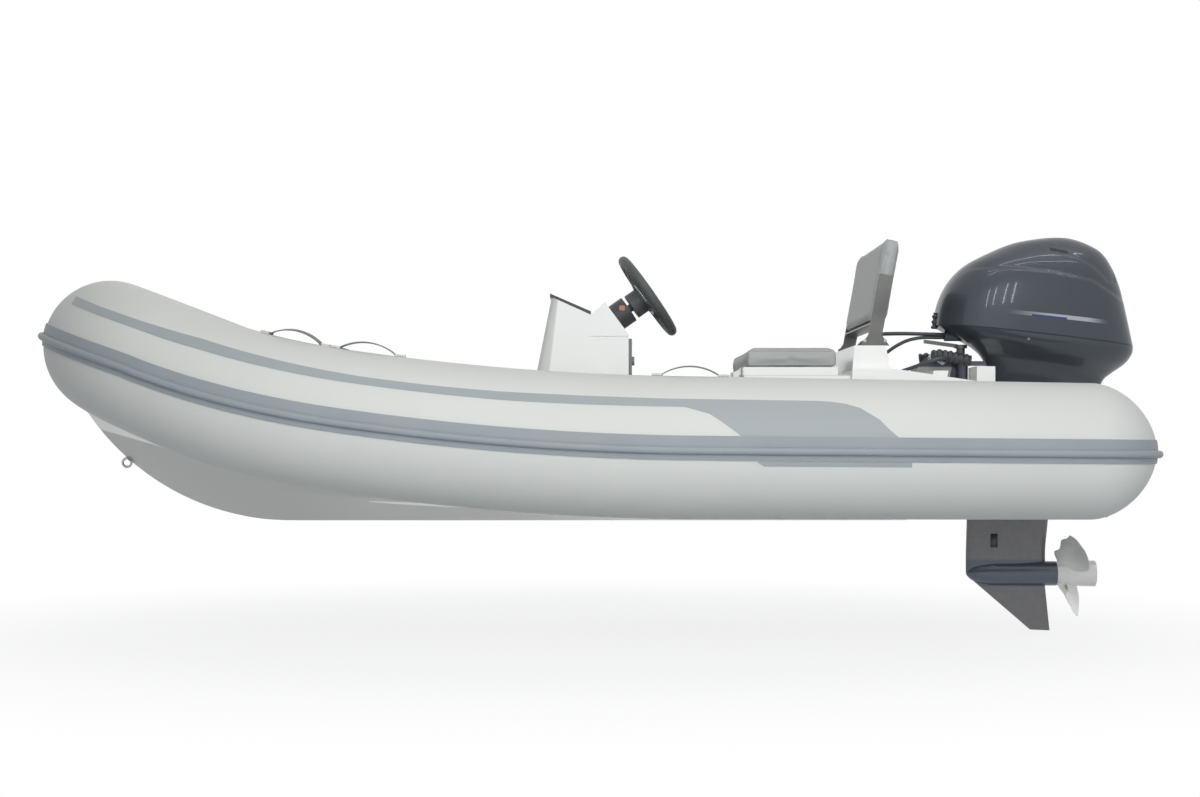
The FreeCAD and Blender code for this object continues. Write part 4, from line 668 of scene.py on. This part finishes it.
def circle(count):
    """The cosine and sine of evenly spaced turns."""
    turns = [2 * math.pi * index / count for index in range(count)]
    return [(math.cos(turn), math.sin(turn)) for turn in turns]


def seam_loop(piece, centre, across, upward, reach):
    """The closed line where a plane through a cushion meets its surface."""
    skin = surface_of(piece.data)
    points = []
    for cosine, sine in circle(loop_points):
        outward = across * (cosine * reach) + upward * (sine * reach * loop_flatness)
        hit = skin.ray_cast(centre + outward * 2, -outward.normalized())[0]
        if hit:
            points.append(hit)
    return line_mesh(points, closed=True)


def level_welts(name, piece, node, body):
    """Piping round the top and bottom edges of a cushion that lies flat."""
    low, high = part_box(node)
    middle = (low + high) / 2
    for label, height in (("top", high.z - welt_inset), ("foot", low.z + welt_inset)):
        centre = Vector((middle.x, middle.y, height))
        loop = seam_loop(piece, centre, Vector((1, 0, 0)), Vector((0, 1, 0)), (high - low).length)
        welt.lay("%s_%s" % (name, label), loop, grey_vinyl, body, "grey_vinyl")


bow_cover = cushion("bow_cushion_cover", "bow_cushion", "bow_lid_body")
level_welts("bow_cushion_welt", bow_cover, "bow_cushion", "bow_lid_body")


# Console. A white moulding with a sloping front, bonded to the deck; a black non-slip strip lies
# on its top, and a grey door with two latches closes its back. Its bevelled front corners are
# painted grey, as painted shade.
front_slope = 0.1213
bevel_start = 1.394
bevel_blur = 0.008
hatch_edge = 0.018
hatch_margin = 0.014
hatch_screws_a_side = 4
outside = 1.0

console_gelcoat = Finish("console_gelcoat", roughness=0.2, coat_weight=0.3, coat_roughness=0.05)
# The bevelled front corners are painted grey: painted shade.
to_front = console_gelcoat.axis("X") + console_gelcoat.axis("Z") * front_slope
bevel = console_gelcoat.smooth(to_front, bevel_start, bevel_start + bevel_blur)
console_white = console_gelcoat.mottled(2.0, 3.0, (232, 232, 230), (239, 239, 237))
console_gelcoat.set(base_color=console_gelcoat.mix(bevel, console_white, shade(202, 203, 200)))
dress(console_gelcoat, "console")

black_plastic = Finish("black_plastic", roughness=0.4)
black_plastic.set(base_color=black_plastic.mottled(30.0, 4.0, (56, 57, 60), (68, 69, 72)))
black_plastic.bump(black_plastic.noise(700.0, 2.0), 0.0001)
dress(black_plastic, "console_trim")

grey_plastic = Finish("grey_plastic", roughness=0.45)
grey_plastic.set(base_color=grey_plastic.mottled(25.0, 3.0, (112, 114, 116), (124, 126, 128)))
grey_plastic.bump(grey_plastic.noise(600.0, 2.0), 0.0001)
dress(grey_plastic, "console_hatch")

screw = Pattern("screw", head_radius=0.005, head_height=0.002)
head_size = {"Vertices": 20, "Radius": screw.start["head_radius"], "Depth": screw.start["head_height"]}
head_base = screw.node("GeometryNodeMeshCylinder", {}, head_size)
dome_size = {"Segments": 20, "Rings": 8, "Radius": screw.start["head_radius"]}
head_dome = screw.node("GeometryNodeMeshUVSphere", {}, dome_size)
flat_dome = screw.node("GeometryNodeTransform", {}, {"Geometry": head_dome, "Scale": (0.86, 0.86, 0.3)})
head_join = screw.tree.nodes.new("GeometryNodeJoinGeometry")
screw.tree.links.new(head_base, head_join.inputs[0])
screw.tree.links.new(flat_dome, head_join.inputs[0])
facing = screw.node("GeometryNodeInputNamedAttribute", {"data_type": "FLOAT_VECTOR"}, {"Name": "facing"})
turned = screw.node("FunctionNodeAlignRotationToVector", {"axis": "Z"}, {"Vector": facing})
placing = {"Points": screw.start["Geometry"], "Instance": head_join.outputs[0], "Rotation": turned}
screw.end(screw.node("GeometryNodeInstanceOnPoints", {}, placing))


def screws(name, places, body, radius, height):
    """Stainless screw heads, each at a point and facing a direction."""
    carrier = bpy.data.meshes.new(name + "_places")
    carrier.from_pydata([point for point, _ in places], [], [])
    directions = carrier.attributes.new("facing", "FLOAT_VECTOR", "POINT")
    for item, (_, direction) in zip(directions.data, places):
        item.vector = direction
    return screw.lay(name, carrier, stainless, body, "stainless", head_radius=radius, head_height=height)


def surface_point(node, start, direction):
    """Where a line, which starts outside, first meets a CAD node's surface."""
    return surface_of(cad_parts[node].data).ray_cast(Vector(start), Vector(direction))[0]


hatch_low, hatch_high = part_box("console_hatch")
hatch_rise = (hatch_high.z - hatch_low.z - 2 * hatch_edge) / (hatch_screws_a_side - 1)
hatch_screws = []
for side, _ in sides:
    for step in range(hatch_screws_a_side):
        beside = side * (hatch_high.y - hatch_margin)
        start = (-outside, beside, hatch_low.z + hatch_edge + hatch_rise * step)
        hatch_screws.append((surface_point("console_hatch", start, (1, 0, 0)), (-1, 0, 0)))
screws("hatch_screws", hatch_screws, "root", radius=0.0045, height=0.0016)


# Helm. The steering unit's black housing stands out of the dash, with a small amber switch in its
# side, and carries a black moulded wheel with a polished ring round its hub.
dress(black_plastic, "helm")
wheel_grip = Finish("wheel_grip", roughness=0.5)
wheel_grip.set(base_color=wheel_grip.mottled(18.0, 4.0, (70, 73, 73), (80, 83, 83)))
wheel_grip.bump(wheel_grip.noise(900.0, 2.0), 0.0002)
dress(wheel_grip, "wheel_rim", "wheel_spokes")

wheel_centre = Vector((1.011, 0.0, 0.665))
wheel_axis = Vector((0.819152, 0.0, -0.573576))
ring_radius = 0.062
ring_offset = 0.0187
ring_points = 96
athwart = Vector((0, 1, 0))
ring_centre = wheel_centre + wheel_axis * ring_offset
ring_line = [ring_centre + (athwart * cosine + wheel_axis.cross(athwart) * sine) * ring_radius
             for cosine, sine in circle(ring_points)]
ring_loop = line_mesh(ring_line, closed=True)
welt.lay("hub_ring", ring_loop, stainless, "helm_wheel_body", "stainless", radius=0.0018)

switch_size = (0.020, 0.010, 0.018)
switch_rounding = 0.002
switch_x = 1.101
switch_z = 0.620
amber = Finish("amber_switch", roughness=0.35)
amber.set(base_color=amber.mottled(60.0, 2.0, (172, 118, 88), (184, 128, 98)))
switch_place = surface_point("helm", (switch_x, outside, switch_z), (0, -1, 0))
switch_form = bmesh.new()
bmesh.ops.create_cube(switch_form, size=1.0)
for vertex in switch_form.verts:
    vertex.co = Vector(place * size for place, size in zip(vertex.co, switch_size))
bmesh.ops.bevel(switch_form, geom=switch_form.edges[:], offset=switch_rounding, segments=3, affect="EDGES")
for vertex in switch_form.verts:
    vertex.co += switch_place
switch_mesh = bpy.data.meshes.new("helm_switch")
switch_form.to_mesh(switch_mesh)
switch_form.free()
place_piece("helm_switch", switch_mesh, amber, "root", "black_plastic")


# Helm seat. A white locker moulding bonded to the deck, with a hinged lid. The cushion on the lid
# is covered in the same grey vinyl, and piped in the same way.
dress(white_gelcoat, "seat_locker", "seat_lid")
dress(stainless, "seat_hinges", "seat_lid_hinges")
seat_cover = cushion("seat_cushion_cover", "seat_cushion", "seat_lid_body")
level_welts("seat_cushion_welt", seat_cover, "seat_cushion", "seat_lid_body")


# Backrest. A padded board between two flat stainless side arms that fold forward on the brackets
# bolted to the rear box.
brushed = Finish("brushed_steel", metallic=0.85)
grain = brushed.noise(60.0, 4.0, (1.0, 1.0, 22.0))
cloud = brushed.noise(9.0, 3.0)
brushed.set(base_color=brushed.mix(cloud, shade(84, 85, 84), shade(128, 129, 127)),
            roughness=grain * 0.18 + 0.26)
dress(brushed, "backrest_brackets")
back_cover = cushion("backrest_cover", "backrest_pad", "backrest_body")

pad_foot = Vector((0.278, 0.0, 0.5575))
pad_head = Vector((0.226, 0.0, 0.838))
pad_seam = 0.016
pad_reach = 0.8
arm_shortening = 0.038
arm_top_length = 0.1
pivot = Vector((0.2627, 0.0, 0.5036))
bracket_bolt_shift = 0.034
bracket_bolt_height = 0.016
join_distance = 0.00001

pad_up = (pad_head - pad_foot).normalized()
pad_out = Vector((pad_up.z, 0.0, -pad_up.x))
pad_middle = sum(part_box("backrest_pad"), Vector()) / 2
for label, offset in (("front", pad_seam), ("rear", -pad_seam)):
    loop = seam_loop(back_cover, pad_middle + pad_out * offset, athwart, pad_up, pad_reach)
    welt.lay("backrest_welt_" + label, loop, grey_vinyl, "backrest_body", "grey_vinyl")


def merged_copy(node):
    """A copy of a CAD node's mesh with its loose triangles joined."""
    form = bmesh.new()
    form.from_mesh(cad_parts[node].data)
    bmesh.ops.remove_doubles(form, verts=form.verts, dist=join_distance)
    mesh = bpy.data.meshes.new(node + "_copy")
    form.to_mesh(mesh)
    form.free()
    return mesh


arm_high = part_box("backrest_arms")[1]
arm_mesh = merged_copy("backrest_arms")
for vertex in arm_mesh.vertices:
    if vertex.co.z > arm_high.z - arm_top_length:
        vertex.co -= pad_up * arm_shortening
place_piece("short_arms", arm_mesh, brushed, "backrest_body", "stainless", "backrest_arms")

arm_bolts = [(Vector((pivot.x, side * arm_high.y, pivot.z)), (0, side, 0)) for side, _ in sides]
screws("arm_bolts", arm_bolts, "backrest_body", radius=0.0065, height=0.003)

bracket_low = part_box("backrest_brackets")[0]
bracket_bolts = []
for side, _ in sides:
    for shift in (-bracket_bolt_shift, bracket_bolt_shift):
        start = (pivot.x + shift, side * outside, bracket_low.z + bracket_bolt_height)
        found = surface_point("backrest_brackets", start, (0, -side, 0))
        bracket_bolts.append((found, (0, side, 0)))
screws("bracket_bolts", bracket_bolts, "root", radius=0.0055, height=0.0026)


# Aft moulding. The white moulding behind the seat, with its rear box, that closes the stern round
# the motor's well.
dress(white_gelcoat, "aft_moulding", "seat_back_box")


# Cables. Three black-jacketed cables from the helm cross the motor's well from a hood and a gland
# on the rear box to the boot in the pan; the steering cable ends in the tilt tube.
cable_jacket = Finish("cable_jacket", roughness=0.5)
cable_jacket.set(base_color=cable_jacket.mottled(14.0, 3.0, (66, 69, 72), (82, 85, 88)))
cable_jacket.bump(cable_jacket.noise(500.0, 2.0), 0.0002)
dress(cable_jacket, "cable_gland", "cable_boot", "steering_cable")
cable_mesh = merged_copy("control_cables")
cable_mesh.materials.append(cable_jacket.material)
for polygon in cable_mesh.polygons:
    polygon.use_smooth = True
loose_cables = bpy.data.objects.new("loose_cables", cable_mesh)
bpy.context.collection.objects.link(loose_cables)
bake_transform(loose_cables)
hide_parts("control_cables")


# Motor mounting. Painted aluminium clamp brackets on the transom carry the tilt tube, on which the
# swivel bracket tilts; the steering rod comes out of the tube's end through a ribbed boot.
worn_top = 0.412
worn_blur = 0.004

cast_paint = Finish("cast_paint", metallic=0.35, roughness=0.36, coat_weight=0.4, coat_roughness=0.1)
cast_paint.set(base_color=cast_paint.mottled(120.0, 3.0, (70, 75, 84), (84, 89, 98)))
cast_paint.bump(cast_paint.noise(420.0, 3.0), 0.00015)
bracket_paint = Finish("bracket_paint", metallic=0.3, roughness=0.4)
unworn = bracket_paint.smooth(bracket_paint.axis("Z"), worn_top, worn_top + worn_blur)
bracket_paint.set(base_color=bracket_paint.mix(unworn, shade(150, 151, 149), shade(74, 79, 88)))
bracket_paint.bump(bracket_paint.noise(420.0, 3.0), 0.00015)
dress(bracket_paint, "clamp_brackets")
dress(cast_paint, "swivel_bracket", "swivel_pin", "powerhead")
dress(stainless, "tilt_tube", "steering_sleeve")
dress(brushed, "steering_arm")

bellows = Pattern("bellows", radius=0.016, rib_depth=0.004, ribs=6)
bellows_line = bellows.node("GeometryNodeMeshToCurve", {}, {"Mesh": bellows.start["Geometry"]})
bellows_even = bellows.node("GeometryNodeResampleCurve", {}, {"Curve": bellows_line, "Count": 121})
bellows_place = bellows.node("GeometryNodeSplineParameter", {}, {}, "Factor")
bellows_turn = bellows.maths("MULTIPLY", bellows_place, bellows.start["ribs"])
bellows_wave = bellows.maths("SINE", bellows.maths("MULTIPLY", bellows_turn, 2 * math.pi))
bellows_rib = bellows.maths("MULTIPLY", bellows_wave, bellows.start["rib_depth"])
bellows_wide = bellows.maths("ADD", bellows_rib, bellows.start["radius"])
bellows_round = bellows.node("GeometryNodeCurvePrimitiveCircle", {}, {"Resolution": 28, "Radius": 1.0})
bellows_parts = {"Curve": bellows_even, "Profile Curve": bellows_round, "Scale": bellows_wide,
                 "Fill Caps": True}
bellows_skin = bellows.node("GeometryNodeCurveToMesh", {}, bellows_parts)
bellows.end(bellows.node("GeometryNodeSetShadeSmooth", {}, {"Geometry": bellows_skin}))

hose_route = [(0.036, 0.148, 0.449), (0.012, 0.142, 0.452), (-0.02, 0.135, 0.448), (-0.06, 0.132, 0.440),
              (-0.095, 0.128, 0.434)]
for side, label in sides:
    hose = line_mesh([(x, y * side, z) for x, y, z in hose_route])
    bellows.lay("harness_boot_" + label, hose, black_plastic, "engine_tilt_body", "black_plastic",
                radius=0.019, rib_depth=0.0022, ribs=7)


# Leg and lower unit. A cast aluminium leg in brownish grey, with the gear case in a darker blue
# under it; black plastic grilles cover the water intakes.
case_foot = -0.351
case_top = -0.257
case_blur = 0.005

leg_paint = Finish("leg_paint", metallic=0.25, roughness=0.34, coat_weight=0.5, coat_roughness=0.08)
leg_height = leg_paint.axis("Z")
over_foot = leg_paint.smooth(leg_height, case_foot - case_blur, case_foot + case_blur)
over_top = leg_paint.smooth(leg_height, case_top - case_blur, case_top + case_blur)
leg_colour = leg_paint.mottled(60.0, 3.0, (98, 98, 100), (112, 111, 112))
leg_paint.set(base_color=leg_paint.mix(over_foot * (1 - over_top), leg_colour, shade(80, 87, 100)))
leg_paint.bump(leg_paint.noise(300.0, 3.0), 0.0001)
dress(leg_paint, "leg", "lower_unit")

intake_x = -0.198
intake_z = -0.190
plate_half_length = 0.012
plate_half_height = 0.024
plate_back = -0.002
plate_face = 0.0025
plate_corners = ((-1, -1), (1, -1), (1, 1), (-1, 1))
for side, label in sides:
    intake = surface_point("lower_unit", (intake_x, side * outside, intake_z), (0, -side, 0))
    rows = []
    for outward in (plate_back, plate_face):
        y = intake.y + side * outward
        rows.append([Vector((intake.x + along * plate_half_length, y, intake.z + up * plate_half_height))
                     for along, up in plate_corners])
    plate = skin_mesh("intake_plate", rows, ring=True, caps=True)
    place_piece("intake_plate_" + label, plate, black_plastic, "engine_steer_body", "black_plastic")


# Propeller. Three blades and a hub, cast in one piece and painted off-white, on the shaft that
# comes out of the gear case.
propeller_paint = Finish("propeller_paint", roughness=0.3, coat_weight=0.5)
propeller_paint.set(base_color=propeller_paint.mottled(8.0, 2.0, (236, 233, 228), (243, 241, 237)))
dress(propeller_paint, "propeller")


# Cowl and pan. Two glossy moulded covers that meet at a sloping seam. The upper one has a flat
# panel sunk in each side under a long crease, and a silver and blue line; the pan under it narrows
# down to the leg.

# Each level gives the outline's front x and z, its back x and z, its half width and its squareness.
cowl_levels = [
    (0.007, 0.561, -0.675, 0.484, 0.212, 2.9),
    (-0.008, 0.640, -0.650, 0.605, 0.210, 2.8),
    (-0.042, 0.712, -0.630, 0.695, 0.198, 2.7),
    (-0.098, 0.770, -0.602, 0.768, 0.172, 2.6),
    (-0.182, 0.815, -0.570, 0.815, 0.132, 2.5),
    (-0.265, 0.848, -0.520, 0.846, 0.090, 2.3),
    (-0.350, 0.864, -0.470, 0.864, 0.047, 2.0),
    (-0.400, 0.868, -0.430, 0.868, 0.012, 2.0),
]
pan_levels = [
    (-0.186, 0.320, -0.560, 0.320, 0.080, 2.4),
    (-0.180, 0.392, -0.580, 0.368, 0.094, 2.4),
    (-0.160, 0.450, -0.606, 0.392, 0.124, 2.5),
    (-0.118, 0.492, -0.650, 0.425, 0.172, 2.7),
    (-0.052, 0.528, -0.672, 0.458, 0.206, 2.8),
    (0.004, 0.560, -0.675, 0.483, 0.210, 2.9),
]
crease_line = [(-0.62, 0.64), (-0.504, 0.7055), (-0.383, 0.7327), (-0.231, 0.7498), (-0.097, 0.7498),
               (-0.047, 0.7157), (-0.02, 0.66)]
crease_depth = 0.010
crease_width = 0.010
shoulder_line = [(-0.567, 0.703), (-0.518, 0.753), (-0.432, 0.801)]
shoulder_depth = 0.007
shoulder_back = -0.60
shoulder_front = -0.40
cowl_half_width = 0.2
shell_points = 160


def curved(levels, share):
    """The outline's numbers at a share of the way up, on a smooth curve through the levels."""
    last = len(levels) - 1
    place = share * last
    start = min(int(place), last - 1)
    part = place - start
    around = [levels[min(max(index, 0), last)] for index in range(start - 1, start + 3)]
    numbers = []
    for before, low, high, after in zip(*around):
        straight = 2 * low + (high - before) * part
        bend = (2 * before - 5 * low + 4 * high - after) * part ** 2
        twist = (3 * low - before - 3 * high + after) * part ** 3
        numbers.append((straight + bend + twist) / 2)
    return numbers


def outline_row(numbers):
    """A superellipse between two points on the centreline."""
    front_x, front_z, back_x, back_z, half_width, squareness = numbers
    row = []
    for cosine, sine in circle(shell_points):
        forward = math.copysign(abs(cosine) ** (2 / squareness), cosine)
        aside = math.copysign(abs(sine) ** (2 / squareness), sine)
        share = (forward + 1) / 2
        x = back_x + (front_x - back_x) * share
        row.append(Vector((x, half_width * aside, back_z + (front_z - back_z) * share)))
    return row


def shell_mesh(name, levels, rings, relief=None):
    """A closed shell through outlines that are read off the levels."""
    rows = [outline_row(curved(levels, index / (rings - 1))) for index in range(rings)]
    if relief:
        for row in rows:
            for point in row:
                point.y *= relief(point)
    return skin_mesh(name, rows, ring=True, caps=True)


def eased(rise):
    """A step from 0 to 1, half a unit to each side of nought, that starts and ends gently."""
    share = min(max(rise + 0.5, 0.0), 1.0)
    return share * share * (3 - 2 * share)


def side_relief(point):
    """Draws the side in above the crease line, and again behind the rear shoulder's line."""
    above = eased((point.z - between(point.x, crease_line)) / crease_width)
    behind = 0.0
    if shoulder_back < point.x < shoulder_front:
        behind = eased((point.z - between(point.x, shoulder_line)) / crease_width)
    return 1 - (crease_depth * above + shoulder_depth * behind) / cowl_half_width


line_slope = 0.104
line_foot = 0.6135
silver_top = 0.6275
silver_back = -0.56
silver_front = -0.19
fade_back = -0.47
fade_front = -0.40
blue_top = 0.6195
blue_back = -0.41
blue_front = -0.29
slot_slope = 0.2
slot_foot = 0.886
slot_top = 0.898
slot_back = -0.432
slot_front = -0.372

cover_gloss = {"metallic": 0.3, "roughness": 0.36, "specular_tint": (0.3, 0.32, 0.35, 1.0)}
engine_paint = Finish("engine_paint", coat_weight=0.3, coat_roughness=0.04, **cover_gloss)
engine_paint.set(base_color=engine_paint.mottled(900.0, 2.0, (62, 67, 72), (74, 79, 84)))

cowl_paint = Finish("cowl_paint", coat_weight=0.35, coat_roughness=0.06, **cover_gloss)
along = cowl_paint.axis("X")
height = cowl_paint.axis("Z")
fall = height - along * line_slope
flakes = cowl_paint.mottled(900.0, 2.0, (62, 67, 73), (75, 80, 87))
silver = (fall > line_foot) * (fall < silver_top) * (along < silver_front) * (along > silver_back)
blue = (fall > line_foot) * (fall < blue_top) * (along < blue_front) * (along > blue_back)
fade_in = cowl_paint.smooth(along, silver_back, fade_back)
fade_out = 1 - cowl_paint.smooth(along, fade_front, silver_front)
striped = cowl_paint.mix(silver * (fade_out * fade_in), flakes, shade(168, 170, 174))
lined = cowl_paint.mix(blue, striped, shade(52, 66, 118))
# The air slot is painted near black: painted shade where the slot opens into the cowl.
slot_fall = height - along * slot_slope
slot = (along < slot_front) * (along > slot_back) * (slot_fall > slot_foot) * (slot_fall < slot_top)
cowl_paint.set(base_color=cowl_paint.mix(slot, lined, shade(18, 19, 22)))

cowl_mesh = shell_mesh("cowl_cover", cowl_levels, rings=90, relief=side_relief)
place_piece("cowl_cover", cowl_mesh, cowl_paint, "engine_steer_body", "engine_paint", "cowl")
pan_mesh = shell_mesh("pan_cover", pan_levels, rings=60)
pan_cover = place_piece("pan_cover", pan_mesh, engine_paint, "engine_steer_body", "engine_paint", "cowl_pan")

plug_x = -0.2804
plug_z = 0.5048
pan_skin = surface_of(pan_cover.data)
plugs = []
for side, _ in sides:
    start = Vector((plug_x, side * outside, plug_z))
    plugs.append(pan_skin.ray_cast(start, Vector((0, -side, 0)))[:2])
screws("pan_plugs", plugs, "engine_steer_body", radius=0.0055, height=0.002)

latch_line = line_mesh([(0.008, 0.0, 0.550), (0.002, 0.0, 0.606)])
bellows.lay("front_latch", latch_line, black_plastic, "engine_steer_body", "black_plastic",
            radius=0.0095, rib_depth=0.0025, ribs=3)
